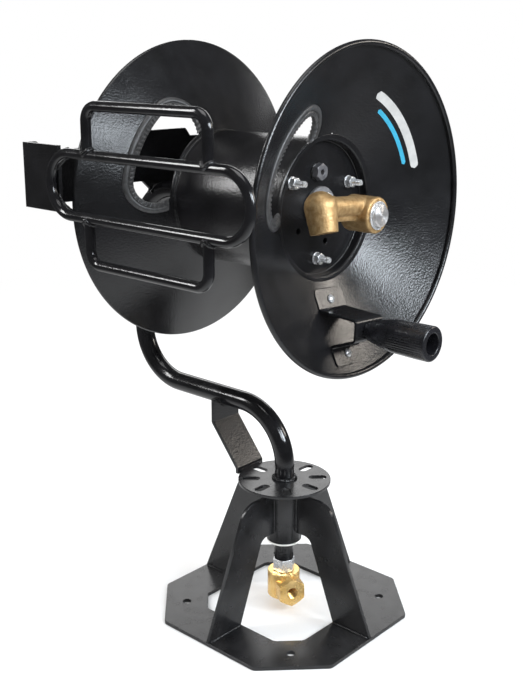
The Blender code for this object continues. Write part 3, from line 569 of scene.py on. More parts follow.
def on_dish(side, point, height):
    """A point over the dish: (y, z) along the drum, and a height along its outer normal."""
    radius = point.length
    inward = point.normalized() * (-math.sin(DISH_ANGLE) * height)
    y, z = point + inward
    return Vector((side_x(side, dish_line(radius) + math.cos(DISH_ANGLE) * height), y, z))


# --- Looks ---

def feed(tree, kind, inputs, output, **settings):
    """Add a node, set or connect its inputs, and return one of its outputs."""
    made = tree.nodes.new(kind)
    for key, value in settings.items():
        setattr(made, key, value)
    for key, value in inputs.items():
        if isinstance(value, bpy.types.NodeSocket):
            tree.links.new(value, made.inputs[key])
        else:
            made.inputs[key].default_value = value
    return made.outputs[output]


def grain(tree, scale, detail=3.0, stretch=(1, 1, 1)):
    """Noise over the piece's own metres."""
    place = feed(tree, "ShaderNodeTexCoord", {}, "Object")
    place = feed(tree, "ShaderNodeMapping", {"Vector": place, "Scale": stretch}, "Vector")
    inputs = {"Vector": place, "Scale": scale, "Detail": detail}
    return feed(tree, "ShaderNodeTexNoise", inputs, "Fac")


def spread(tree, value, low, high):
    inputs = {"Value": value, "From Min": 0.32, "From Max": 0.68, "To Min": low, "To Max": high}
    return feed(tree, "ShaderNodeMapRange", inputs, "Result")


def tint(tree, value, first, second):
    ramp = tree.nodes.new("ShaderNodeValToRGB")
    ramp.color_ramp.elements[0].position = 0.35
    ramp.color_ramp.elements[1].position = 0.65
    ramp.color_ramp.elements[0].color = (*first, 1)
    ramp.color_ramp.elements[1].color = (*second, 1)
    tree.links.new(value, ramp.inputs["Fac"])
    return ramp.outputs["Color"]


def relief(tree, height, depth, under=None):
    inputs = {"Height": height, "Distance": depth, "Strength": 1.0}
    if under:
        inputs["Normal"] = under
    return feed(tree, "ShaderNodeBump", inputs, "Normal")


def look(name, colours, colour_scale, roughness, rough_scale, bumps, metallic=0.0, stretch=(1, 1, 1)):
    """A surface: two colours, a range of roughness, and bumps as (scale, depth) pairs."""
    material = bpy.data.materials.new(name)
    material.use_nodes = True
    tree = material.node_tree
    shader = tree.nodes["Principled BSDF"]
    colour = tint(tree, grain(tree, colour_scale, 4.0, stretch), *colours)
    tree.links.new(colour, shader.inputs["Base Color"])
    rough = spread(tree, grain(tree, rough_scale, 4.0, stretch), *roughness)
    tree.links.new(rough, shader.inputs["Roughness"])
    normal = None
    for scale, depth in bumps:
        normal = relief(tree, grain(tree, scale, 2.0, stretch), depth, normal)
    tree.links.new(normal, shader.inputs["Normal"])
    shader.inputs["Metallic"].default_value = metallic
    return material


def powder_coat():
    """Gloss black powder coat with a millimetre-scale orange peel."""
    return look("gloss_powder_coat", ((0.0045, 0.0045, 0.005), (0.008, 0.008, 0.009)), 25,
                (0.20, 0.27), 30, ((400, 0.00030),))


def satin_coat():
    """The flatter black of the cut plates, with dust in its texture."""
    return look("satin_powder_coat", ((0.007, 0.007, 0.0075), (0.013, 0.013, 0.014)), 40,
                (0.24, 0.28), 60, ((400, 0.00007),))


def thin_coat():
    """Black paint worn to dark grey on the hub's boss."""
    return look("thin_powder_coat", ((0.060, 0.060, 0.066), (0.105, 0.105, 0.112)), 90,
                (0.30, 0.42), 90, ((420, 0.00020),))


def rod_coat():
    """The same black drawn smooth over thin rods and tube."""
    return look("rod_powder_coat", ((0.0045, 0.0045, 0.005), (0.008, 0.008, 0.009)), 30,
                (0.10, 0.18), 60, ((230, 0.00012),))


def cast_brass():
    """Sand-cast brass, tumbled: dull gold with tan shadows and a pebbled skin."""
    return look("tumbled_cast_brass", ((0.37, 0.225, 0.093), (0.53, 0.365, 0.18)), 160,
                (0.42, 0.60), 120, ((420, 0.00050),), 0.80)


def machined_brass():
    return look("machined_brass", ((0.86, 0.54, 0.17), (0.94, 0.65, 0.27)), 60,
                (0.20, 0.30), 90, ((300, 0.00004),), 0.72)


def zinc():
    """Bright zinc plating with a faint blue cast and handling marks."""
    return look("zinc_plating", ((0.66, 0.67, 0.69), (0.78, 0.79, 0.79)), 160,
                (0.20, 0.32), 200, ((700, 0.00003),), 0.72)


def machined_steel():
    """Turned steel, with fine tool marks round the axis."""
    material = look("turned_steel", ((0.62, 0.60, 0.59), (0.74, 0.73, 0.72)), 120,
                    (0.32, 0.42), 300, ((300, 0.00002),), 0.85, (1, 1, 9))
    tree = material.node_tree
    shader = tree.nodes["Principled BSDF"]
    around = feed(tree, "ShaderNodeTangent", {}, "Tangent", direction_type="RADIAL", axis="Z")
    tree.links.new(around, shader.inputs["Tangent"])
    shader.inputs["Anisotropic"].default_value = 0.8
    shader.inputs["Anisotropic Rotation"].default_value = 0.25
    return material


def trim_rubber():
    return look("trim_rubber", ((0.026, 0.026, 0.027), (0.050, 0.050, 0.051)), 220,
                (0.32, 0.42), 300, ((600, 0.00015),))


def seal_rubber():
    return look("seal_rubber", ((0.012, 0.012, 0.012), (0.022, 0.022, 0.022)), 200,
                (0.35, 0.5), 300, ((1200, 0.00005),))


def white_nylon():
    return look("white_nylon", ((0.66, 0.66, 0.63), (0.80, 0.80, 0.77)), 120,
                (0.35, 0.5), 200, ((1400, 0.00006),))


def grey_acetal():
    return look("grey_acetal", ((0.10, 0.10, 0.105), (0.16, 0.16, 0.165)), 120,
                (0.34, 0.48), 200, ((1400, 0.00006),))


def grip_plastic():
    """Satin black moulded plastic."""
    return look("grip_plastic", ((0.006, 0.006, 0.0075), (0.010, 0.010, 0.0125)), 90,
                (0.25, 0.30), 140, ((600, 0.00003),))


def stripe_paint(name, colour):
    darker = [0.86 * channel for channel in colour]
    return look(name, (darker, colour), 90, (0.3, 0.42), 120, ((330, 0.0006),))


LOOKS = {
    "gloss": powder_coat(),
    "satin": satin_coat(),
    "thin": thin_coat(),
    "rod": rod_coat(),
    "cast_brass": cast_brass(),
    "machined_brass": machined_brass(),
    "zinc": zinc(),
    "steel": machined_steel(),
    "trim": trim_rubber(),
    "seal": seal_rubber(),
    "nylon": white_nylon(),
    "acetal": grey_acetal(),
    "grip": grip_plastic(),
    "pale_stripe": stripe_paint("pale_stripe_paint", (0.42, 0.42, 0.41)),
    "blue_stripe": stripe_paint("blue_stripe_paint", (0.025, 0.30, 0.46)),
}
LOOKS_OF_SLOT = {
    "black_coat": ("gloss", "satin", "rod", "thin", "pale_stripe", "blue_stripe"),
    "zinc": ("zinc", "steel"),
    "cast_brass": ("cast_brass",),
    "machined_brass": ("machined_brass",),
    "trim_rubber": ("trim",),
    "seal_rubber": ("seal",),
    "nylon": ("nylon",),
    "bearing_plastic": ("acetal",),
    "grip_plastic": ("grip",),
}


def finish(obj, body, look_name, *nodes):
    """Move a shape from its body's axis into place, and give it its look and its body."""
    obj.matrix_world = PLACES[body] @ obj.matrix_world
    obj.data.materials.clear()
    obj.data.materials.append(LOOKS[look_name])
    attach(obj, body)
    if nodes:
        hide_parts(*nodes)
    return obj


# --- Pedestal ---

def base_plate():
    outlines = [
        clipped_square(BASE_SIDE, BASE_FLAT, BASE_CORNER),
        clipped_square(OPENING_SIDE, OPENING_FLAT, BASE_CORNER),
    ]
    reach = ANCHOR_PITCH / 2
    for x in (-reach, reach):
        for y in (-reach, reach):
            outlines.append(circle((x, y), ANCHOR_HOLE))
    place = local((0, 0, BASE_THICK / 2))
    plate = sheet("base_plate_cut", outlines, BASE_THICK, place, edge=0.0006)
    finish(plate, "pedestal", "satin", "base_plate")


def fin(name, angle):
    """One of the four upright fins, with its welds to the base and to the sleeve."""
    foot = BASE_THICK
    root = SLEEVE_RADIUS - 0.0005
    corners = [
        (FIN_FOOT_IN, foot),
        (FIN_FOOT_OUT, foot),
        FIN_SHOULDER,
        (root, FIN_SHOULDER.y),
        (root, FIN_CROTCH.y),
        FIN_CROTCH,
    ]
    outline = rounded(corners, [0, 0, FIN_SHOULDER_BEND, 0, 0, FIN_CROTCH_BEND], 16)
    plate = sheet(name + "_cut", [outline], FIN_THICK, local(rotation=(QUARTER, 0, angle)))
    finish(plate, "pedestal", "satin", name)
    beads = []
    x = SLEEVE_RADIUS + 0.0002
    z = foot + 0.0004
    for side in (-1, 1):
        y = side * (FIN_THICK / 2 + 0.0006)
        beads.append([(FIN_FOOT_IN + WELD_INSET, y, z), (FIN_FOOT_OUT - WELD_INSET, y, z)])
        beads.append([(x, y, FIN_CROTCH.y + WELD_INSET), (x, y, FIN_SHOULDER.y - WELD_INSET)])
    place = local(rotation=(0, 0, angle))
    weld(name + "_weld", "pedestal", beads, WELD, name, place=place, look_name="satin")


def pivot():
    """The sleeve between the fins and the two plastic bushes in its ends."""
    section = ring_section(SLEEVE_RADIUS, SLEEVE_BORE, SLEEVE_BOTTOM, SLEEVE_TOP, 0.0006)
    finish(turned("pivot_sleeve_tube", section), "pedestal", "satin", "pivot_sleeve")
    bore = PIPE_RADIUS + GAP
    body = SLEEVE_BORE - GAP
    corners = [
        (SLEEVE_RADIUS, BUSH_FLANGE),
        (SLEEVE_RADIUS, GAP),
        (body, GAP),
        (body, -BUSH_DEPTH),
        (bore, -BUSH_DEPTH),
        (bore, BUSH_FLANGE),
    ]
    section = rounded(corners, [0.0008, 0.0004, 0, 0.0006, 0, 0], 5)
    places = {
        "bush_upper": local((0, 0, SLEEVE_TOP)),
        "bush_lower": local((0, 0, SLEEVE_BOTTOM), (math.pi, 0, 0)),
    }
    for name, place in places.items():
        finish(turned(name + "_ring", section, place), "pedestal", "nylon", name)


# --- Swivel frame ---

def pipe_path():
    """The bent pipe's middle line."""
    bend = PIPE_BEND
    path = arc((-bend, PIPE_RUN - bend), bend, 0, QUARTER, 33)
    path += arc((PIPE_RISER_X + bend, PIPE_RUN + bend), bend, -QUARTER, -math.pi, 33)
    path += arc((PIPE_RISER_X + bend, SPINDLE_HEIGHT - bend), bend, math.pi, QUARTER, 33)
    path = [(0, PIPE_FOOT), *path, (PIPE_END_X, SPINDLE_HEIGHT)]
    return [(x, 0, z) for x, z in path]


def ring_path(radius, height, count=40):
    return [(x, y, height) for x, y in circle((0, 0), radius, count)]


def pipe():
    finish(tube("bent_pipe", [pipe_path()], PIPE_RADIUS, resolution=20), "swivel_frame", "rod",
           "swivel_pipe")
    place = local((PIPE_END_X, 0, SPINDLE_HEIGHT), ALONG_X)
    weld("pipe_end_weld", "swivel_frame", [ring_path(PIPE_RADIUS, 0)], WELD, 11, True, place)


def index_plate():
    """The slotted plate under the pipe's first bend, with the weld that holds it."""
    outlines = [circle((0, 0), PLATE_RADIUS, 96), circle((0, 0), PIPE_RADIUS)]
    end = SLOT_WIDTH / 2
    for i in range(SLOTS):
        turn = i * FULL_TURN / SLOTS
        far = arc(polar(SLOT_OUTER - end, turn), end, turn - QUARTER, turn + QUARTER, 12)
        near = arc(polar(SLOT_INNER + end, turn), end, turn + QUARTER, turn + 3 * QUARTER, 12)
        outlines.append(far + near)
    place = local((0, 0, PLATE_TOP - PLATE_THICK / 2))
    plate = sheet("index_plate_cut", outlines, PLATE_THICK, place)
    finish(plate, "swivel_frame", "satin", "index_plate")
    rings = [ring_path(PIPE_RADIUS + 0.0009, PLATE_TOP + 0.0006)]
    weld("index_plate_weld", "swivel_frame", rings, 0.0034, 12, True)


def strap():
    """The folded bar that holds the index plate's rim to the pipe's level run."""
    rim_x = -(PLATE_RADIUS + STRAP_THICK / 2)
    path = [
        (STRAP_TAB_X, PIPE_RUN),
        (STRAP_TAB_X, STRAP_TAB_LOW),
        (rim_x, STRAP_RIM_HIGH),
        (rim_x, PLATE_TOP - PLATE_THICK - 0.001),
    ]
    outline = strip_outline(bent(path, STRAP_BEND, 5), STRAP_THICK)
    bar = sheet("brace_strap_bent", [outline], STRAP_WIDTH, local(rotation=(QUARTER, 0, 0)))
    saddle = cylinder("saddle", PIPE_RADIUS, 0.03, local((STRAP_TAB_X, 0, PIPE_RUN), ALONG_X))
    finish(crisp(cut(bar, saddle)), "swivel_frame", "gloss", "brace_strap")
    half = STRAP_WIDTH / 2 - 2 * WELD_INSET
    x = rim_x + STRAP_THICK / 2 - 0.0004
    z = PLATE_TOP + 0.0004
    beads = [[(x, -half, z), (x, half, z)]]
    under = arc((0, PIPE_RUN), PIPE_RADIUS + 0.0006, math.pi, FULL_TURN, 20)
    for side in (-1, 1):
        beads.append([(STRAP_TAB_X + side * STRAP_THICK / 2, y, z) for y, z in under])
    weld("brace_strap_weld", "swivel_frame", beads, WELD, 13)


def guide_arm():
    """One folded plate: a bracket behind the guide loop and an arm back to the pipe."""
    bracket_y = GUIDE_Y + ROD_RADIUS + GAP + ARM_THICK / 2
    path = [(BRACKET_X, bracket_y), (ARM_X, bracket_y), (ARM_X, 0.095)]
    outline = strip_outline([Vector(point) for point in path], ARM_THICK)
    deep = 0.3
    folded = sheet("guide_arm_bent", [outline], deep, local((0, 0, ARM_LOW)), edge=0.0001)
    front = GUIDE_Y - ARM_THICK
    corners = [
        (front, ARM_LOW, 0),
        (-0.120, ARM_LOW, 0.01),
        (-0.100, 0.5785, 0.01),
        (-0.029, 0.5785, 0.004),
        (-0.002, 0.5545, 0.004),
        (0.090, 0.5545, 0.006),
        (0.090, 0.637, 0.012),
        (0.064, 0.637, 0.004),
        (0.055, 0.6485, 0.006),
        (-0.050, 0.6485, 0.006),
        (-0.070, 0.632, 0.006),
        (-0.193, 0.632, 0.004),
        (-0.206, ARM_HIGH, 0.004),
        (front, ARM_HIGH, 0),
    ]
    outline = rounded([(y, z) for y, z, bend in corners], [bend for y, z, bend in corners])
    side_view = sheet("arm_outline", [outline], deep, local((ARM_X, 0, 0), FACING_X), edge=0.0001)
    arm = combine(solid(folded), [side_view], "INTERSECT")
    arm = cut(arm, tube("arm_hole", [pipe_path()], PIPE_RADIUS, resolution=20))
    finish(crisp(ease(arm, 0.0009, 3)), "swivel_frame", "gloss", "guide_arm")
    bead = 0.0026
    low, high = LOOP_HEIGHTS
    bend = (high - low) / 2
    centre = (LOOP_ENDS[0] + bend, (high + low) / 2)
    beads = []
    for first, last in ((98, 150), (205, 262)):
        for radius in (bend - ROD_RADIUS * 0.75, bend + ROD_RADIUS * 0.75):
            run = arc(centre, radius, math.radians(first), math.radians(last))
            beads.append([(x, GUIDE_Y + ROD_RADIUS * 0.72, z) for x, z in run])
    weld("bracket_weld", "swivel_frame", beads, bead, 14)
    notch = arc((0, ARM_SADDLE), PIPE_RADIUS * 1.12, math.radians(15), math.radians(165))
    beads = [[(ARM_X + side * ARM_THICK / 2, y, z) for y, z in notch] for side in (-1, 1)]
    weld("arm_weld", "swivel_frame", beads, bead, 15)


def hose_guide():
    """The rod loop with a hoop above and below it, and the welds at the hoops' feet."""
    low, high = LOOP_HEIGHTS
    bend = (high - low) / 2
    middle = (high + low) / 2
    loop = arc((LOOP_ENDS[1] - bend, middle), bend, -QUARTER, QUARTER, 40)
    loop += arc((LOOP_ENDS[0] + bend, middle), bend, QUARTER, 3 * QUARTER, 40)
    rod = tube("guide_loop_rod", [[(x, GUIDE_Y, z) for x, z in loop]], ROD_RADIUS, True)
    finish(rod, "swivel_frame", "rod", "guide_loop")
    for name, bar in HOOP_HEIGHTS.items():
        rail = min(LOOP_HEIGHTS, key=lambda height: abs(height - bar))
        away = math.copysign(1, bar - rail)
        turn = bar - away * HOOP_BEND
        left, right = HOOP_SIDES
        path = [(left, rail)]
        path += arc((left + HOOP_BEND, turn), HOOP_BEND, math.pi, math.pi - away * QUARTER, 20)
        path += arc((right - HOOP_BEND, turn), HOOP_BEND, away * QUARTER, 0, 20)
        path += [(right, rail)]
        rod = tube(name + "_rod", [[(x, GUIDE_Y, z) for x, z in path]], ROD_RADIUS)
        finish(rod, "swivel_frame", "rod", name)
        rings = []
        for x in HOOP_SIDES:
            ring = []
            for across, along in circle((0, 0), ROD_RADIUS, 40):
                rise = math.sqrt(max(0, ROD_RADIUS ** 2 - along ** 2)) + 0.0006
                ring.append((x + across, GUIDE_Y + along, rail + away * rise))
            rings.append(ring)
        weld(name + "_weld", "swivel_frame", rings, 0.0029, name, True)


def spindle():
    """The hollow shaft, its collars, and the ring that holds the outlet barrel."""
    groove = BARREL_OUT_X
    radius = PIPE_RADIUS
    root = radius - GROOVE_DEPTH
    profile = [
        (0, SPINDLE_FACE_X),
        (radius - 0.0016, SPINDLE_FACE_X),
        (radius - 0.0013, SPINDLE_FACE_X - 0.0001),
        (radius, SPINDLE_FACE_X - SPINDLE_CHAMFER),
        (radius, groove + GROOVE_WIDTH),
        (root, groove + GROOVE_WIDTH),
        (root, groove),
        (radius, groove),
        (radius, PIPE_END_X + GAP),
        (0, PIPE_END_X + GAP),
    ]
    axis = local((0, 0, SPINDLE_HEIGHT), ALONG_X)
    finish(turned("spindle_shaft", profile, axis, 128), "swivel_frame", "steel", "spindle")
    soft = [0.0008, 0.0008, 0, 0]
    for name in ("collar_left", "collar_right"):
        low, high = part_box(name)
        section = ring_section(COLLAR_RADIUS, radius, low.x - SWIVEL.x, high.x - SWIVEL.x, soft, 5)
        finish(turned(name + "_turned", section, axis), "swivel_frame", "zinc", name)
    middle = math.radians(-40)
    half_gap = math.radians(32)
    first = middle + half_gap
    last = middle - half_gap + FULL_TURN
    ring = arc((0, 0), SNAP_RADIUS, first, last, 64) + arc((0, 0), root + GAP, last, first, 64)
    place = local((groove + GAP + SNAP_THICK / 2, 0, SPINDLE_HEIGHT), FACING_X)
    snap_ring = sheet("snap_ring_bent", [ring], SNAP_THICK, place, edge=0.0003)
    finish(snap_ring, "swivel_frame", "zinc", "snap_ring")


def stem():
    """The plated hex nipple between the pipe and the inlet elbow."""
    top = PIPE_FOOT
    profile = [
        (0, top),
        (0.0112, top),
        (STEM_RADIUS, STEM_HEX_LOW + 0.002),
        (STEM_RADIUS, STEM_LOW),
        (0, STEM_LOW),
    ]
    middle = local((0, 0, (top + STEM_HEX_LOW) / 2))
    nipple = turned("stem_nipple", profile)
    hexed = hexagon("inlet_stem_hex", STEM_ACROSS, top - STEM_HEX_LOW, middle)
    finish(crisp(join(hexed, nipple)), "swivel_frame", "zinc", "inlet_stem")


# --- Inlet ---

def tapped(name, radius, depth, length, pitch, lead, drill, place):
    """The space of a threaded port; local Z runs into the port from its face."""
    threads = thread(radius, depth, 0, length, pitch)
    mouth = radius + lead
    profile = [(0, drill), *threads[::-1], (mouth, -0.0002), (mouth + depth, -0.002), (0, -0.002)]
    return turned(name, profile, place)


def inlet():
    """The swivelling brass elbow: a turned body and a threaded hex port."""
    top = STEM_HEX_LOW - GAP
    corners = [(0, top), (INLET_BODY_RADIUS, top), (INLET_BODY_RADIUS, INLET_LOW), (0, INLET_LOW)]
    body = turned("inlet_elbow_turned", rounded(corners, [0, 0.0014, 0.0022, 0], 6))
    middle = local((INLET_PORT_REACH / 2, 0, INLET_PORT_HEIGHT), ALONG_X)
    body = join(body, solid(hexagon("inlet_port", INLET_PORT_ACROSS, INLET_PORT_REACH, middle)))
    face = local((INLET_PORT_REACH, 0, INLET_PORT_HEIGHT), (0, -QUARTER, 0))
    threads = tapped("inlet_threads", 0.0085, 0.0007, 0.018, 0.0014, 0.0010, 0.0185, face)
    socket = cylinder("inlet_socket", STEM_RADIUS + 0.0004, 0.04, local((0, 0, STEM_LOW + 0.0145)))
    elbow = ease(cut(body, threads, socket), 0.0003)
    finish(crisp(elbow), "inlet", "machined_brass", "inlet_elbow")


# --- Drum ---

def core():
    section = ring_section(CORE_RADIUS, CORE_BORE, -CORE_HALF, CORE_HALF, 0.0008)
    tube_piece = turned("drum_core_tube", section, local((DRUM_MIDDLE_X, 0, 0), ALONG_X), 192)
    finish(tube_piece, "drum", "gloss", "drum_core")


def outward(side):
    """On the drum's axis and middle plane, with local Z towards one side."""
    return local((DRUM_MIDDLE_X, 0, 0), (0, side * QUARTER, 0))


def flange(side, word):
    """A dished flange: thin sheet, rolled bead at the rim, hose port and screw holes."""
    half_sheet = FLANGE_SHEET / 2
    lift = BEAD_RADIUS - half_sheet
    normal = polar(1, DISH_ANGLE + QUARTER)
    foot_radius = FLANGE_RADIUS - BEAD_RADIUS + math.sin(DISH_ANGLE) * lift
    centre = Vector((foot_radius, dish_line(foot_radius))) + normal * lift
    low = Vector((CORE_RADIUS, dish_line(CORE_RADIUS)))
    start = math.pi - math.asin((half_sheet - lift) / BEAD_RADIUS)
    roll = arc(centre, BEAD_RADIUS, DISH_ANGLE + start, DISH_ANGLE - QUARTER, 40)
    profile = [low + normal * half_sheet, *roll, low - normal * half_sheet]
    dish = turned("flange_%s_dish" % word, profile, outward(side), 240)
    place = local((side_x(side, 0.12), 0, 0), FACING_X)
    cutters = [sheet("port_cut", [port_outline(PORT_HALF, PORT_INNER)], 0.12, place, edge=0.0001)]
    if side > 0:
        for radius in CRANK_SCREWS:
            cutters.append(cylinder("screw_hole", 0.0029, 0.02, crank_place(radius, 0)))
        place = local((side_x(1, HUB_OUT), *polar(0.0945, QUARTER)), ALONG_X)
        cutters.append(cylinder("sight_hole", 0.0035, 0.03, place))
    finish(shade(cut(dish, *cutters), 40), "drum", "gloss", "flange_" + word)
    lip = [
        (CORE_BORE - 0.0002, HUB_OUT + 0.006),
        (CORE_BORE - 0.0002, CORE_HALF + 0.0002),
        (CORE_BORE + 0.0012, CORE_HALF + 0.0020),
        (CORE_RADIUS + 0.0004, CORE_HALF + 0.0026),
        (CORE_RADIUS + 0.0040, CORE_HALF + 0.0034),
        (CORE_RADIUS + 0.0048, CORE_HALF + 0.0028),
        (CORE_RADIUS + 0.0010, CORE_HALF - 0.0010),
        (CORE_RADIUS + 0.0002, HUB_OUT + 0.006),
    ]
    lip = rounded(lip, [0, 0.002, 0.001, 0.001, 0.0003, 0, 0, 0], 6)
    finish(turned("flange_%s_lip" % word, lip, outward(side), 192), "drum", "gloss")
    beads = [ring_path(CORE_RADIUS + 0.0006, CORE_HALF - FLANGE_SHEET * 0.8, 120)]
    weld("flange_%s_weld" % word, "drum", beads, 0.0016, word, True, outward(side))


def port_trim(side, word):
    """The rubber channel round a hose port: a smooth outer band and a ribbed inner one."""
    root = PORT_INNER + 0.001
    runs = []
    for half_width in (PORT_HALF + TRIM_OUTSIDE, PORT_HALF - TRIM_INSIDE):
        run = port_outline(half_width, root, 32)
        runs.append([point for point in run if point.length > root + 0.0004])
    outer = even_steps(runs[0], 0.0016, False)
    inner = runs[1]
    length = sum((b - a).length for a, b in zip(inner, inner[1:]))
    inner = even_steps(inner, length / (len(outer) - 0.5), False)
    count = min(len(inner), len(outer))
    section = trim_section()
    points = []
    for i in range(count):
        ribbed = i % 4 < 2
        for across, height in section:
            if across < RIB_SHARE and not ribbed:
                height *= 0.55
            points.append(on_dish(side, inner[i].lerp(outer[i], across), height))
    size = len(section)
    faces = [list(range(size)), list(range(len(points) - size, len(points)))]
    for i in range(count - 1):
        for k in range(size):
            a = i * size + k
            b = i * size + (k + 1) % size
            faces.append((a, b, b + size, a + size))
    trim = mesh_object("port_trim_%s_moulded" % word, points, faces)
    finish(shade(trim, 50), "drum", "trim", "port_trim_" + word)


def trim_section():
    """The channel's section as (share of its width, height over the sheet's middle)."""
    top = TRIM_HEIGHT / 2
    gap = FLANGE_SHEET / 2
    rise = [(0.01, 0.5), (0.05, 0.85), (0.10, 1), (0.36, 1), (RIB_SHARE, 0.80), (0.48, 0.62),
            (0.54, 0.84), (0.62, 0.95), (0.86, 0.88), (0.95, 0.62)]
    upper = [(across, top * share) for across, share in rise] + [(1.0, gap + 0.0002)]
    lower = [(across, -height) for across, height in reversed(upper)]
    return [(0.0, 0.0), *upper, (0.99, gap - 0.0004), (0.99, 0.0004 - gap), *lower]


def hub(side, word):
    """The recessed hub plate, the bead that holds it in the core, and its bearing."""
    holes = [circle((0, 0), CORE_BORE, 160), circle((0, 0), HUB_BORE)]
    for angle in TIE_ANGLES:
        holes.append(circle(polar(TIE_CIRCLE, angle), TIE_RADIUS + GAP, 24))
    if side > 0:
        for angle in DRAIN_ANGLES:
            holes.append(circle(polar(BOSS_CIRCLE, angle), DRAIN_RADIUS, 24))
    middle = local((side_x(side, HUB_OUT - HUB_THICK / 2), 0, 0), FACING_X)
    disc = sheet("hub_plate_%s_disc" % word, holes, HUB_THICK, middle, edge=0.0003)
    finish(disc, "drum", "gloss", "hub_plate_" + word)
    beads = [ring_path(CORE_BORE - 0.0004, HUB_OUT + 0.0006, 120)]
    weld("hub_plate_%s_weld" % word, "drum", beads, 0.0015, word + "_hub", True, outward(side))
    bore = PIPE_RADIUS + GAP
    rim = HUB_OUT + BEARING_FLANGE
    end = HUB_OUT - BEARING_DEPTH
    corners = [
        (BEARING_RADIUS, rim),
        (BEARING_RADIUS, HUB_OUT + GAP),
        (HUB_BORE - GAP, HUB_OUT + GAP),
        (HUB_BORE - GAP, end),
        (bore, end),
        (bore, rim),
    ]
    section = rounded(corners, [0.0014, 0.0005, 0, 0, 0, 0.0005], 6)
    bearing = turned("hub_bearing_%s_turned" % word, section, outward(side))
    finish(bearing, "drum", "acetal", "hub_bearing_" + word)


def tie(number, angle):
    """One of the long studs through the hub, with its washer and nut on the crank side."""
    y, z = polar(TIE_CIRCLE, angle)
    axis = local((0, y, z), ALONG_X)
    head_x = side_x(-1, HUB_OUT + GAP)
    tip = side_x(1, TIE_TIP)
    threads = thread(TIE_RADIUS, 0.0005, tip - 0.0008, side_x(1, HUB_OUT - 0.002), INCH / 20)
    profile = [
        (0, tip),
        (TIE_RADIUS - 0.0009, tip),
        *threads,
        (TIE_RADIUS, side_x(1, HUB_OUT - HUB_THICK)),
        (TIE_RADIUS, head_x),
        (0, head_x),
    ]
    stud = turned("tie_bolt_%d_shank" % number, profile, axis, 32)
    place = local((head_x - TIE_HEAD / 2, y, z), ALONG_X)
    head = hexagon("tie_bolt_%d_hex" % number, TIE_HEX, TIE_HEAD, place)
    finish(join(stud, solid(head)), "drum", "zinc", "tie_bolt_%d" % number)
    low = side_x(1, HUB_OUT + GAP)
    section = ring_section(WASHER_RADIUS, TIE_RADIUS, low, low + WASHER_THICK, [0.0004, 0.0004, 0, 0])
    washer = turned("tie_washer_%d_disc" % number, section, axis, 48)
    finish(washer, "drum", "zinc", "tie_washer_%d" % number)
    nut_x = side_x(1, HUB_OUT + 0.0022 + TIE_NUT / 2)
    place = local((nut_x, y, z), ALONG_X) @ Matrix.Rotation(0.35 * number, 4, "Z")
    nut = hexagon("tie_nut_%d_hex" % number, TIE_HEX, TIE_NUT, place, TIE_RADIUS)
    finish(nut, "drum", "zinc", "tie_nut_%d" % number)


def boss():
    """The hex boss on the crank-side hub plate and its weld."""
    y, z = polar(BOSS_CIRCLE, BOSS_ANGLE)
    place = local((side_x(1, HUB_OUT + 0.005), y, z), ALONG_X)
    hexed = hexagon("hub_boss_hex", BOSS_ACROSS, BOSS_THICK, place, BOSS_BORE)
    finish(hexed, "drum", "thin", "hub_boss")
    x = side_x(1, HUB_OUT + 0.0004)
    beads = [[(x, *point) for point in circle((y, z), 0.0098, 24)]]
    weld("hub_boss_weld", "drum", beads, 0.0018, 21, True)


def cast(name, blocks, rounds):
    """Blocks melted into one casting with soft inner and outer corners."""
    body = blocks[0]
    body.name = name
    with bpy.context.temp_override(active_object=body, selected_editable_objects=blocks,
                                   selected_objects=blocks, object=body):
        bpy.ops.object.join()
    remesh = body.modifiers.new("melt", "REMESH")
    remesh.mode = "VOXEL"
    remesh.voxel_size = CAST_VOXEL
    soften = body.modifiers.new("soften", "SMOOTH")
    soften.factor = 0.5
    soften.iterations = rounds
    return solid(body)


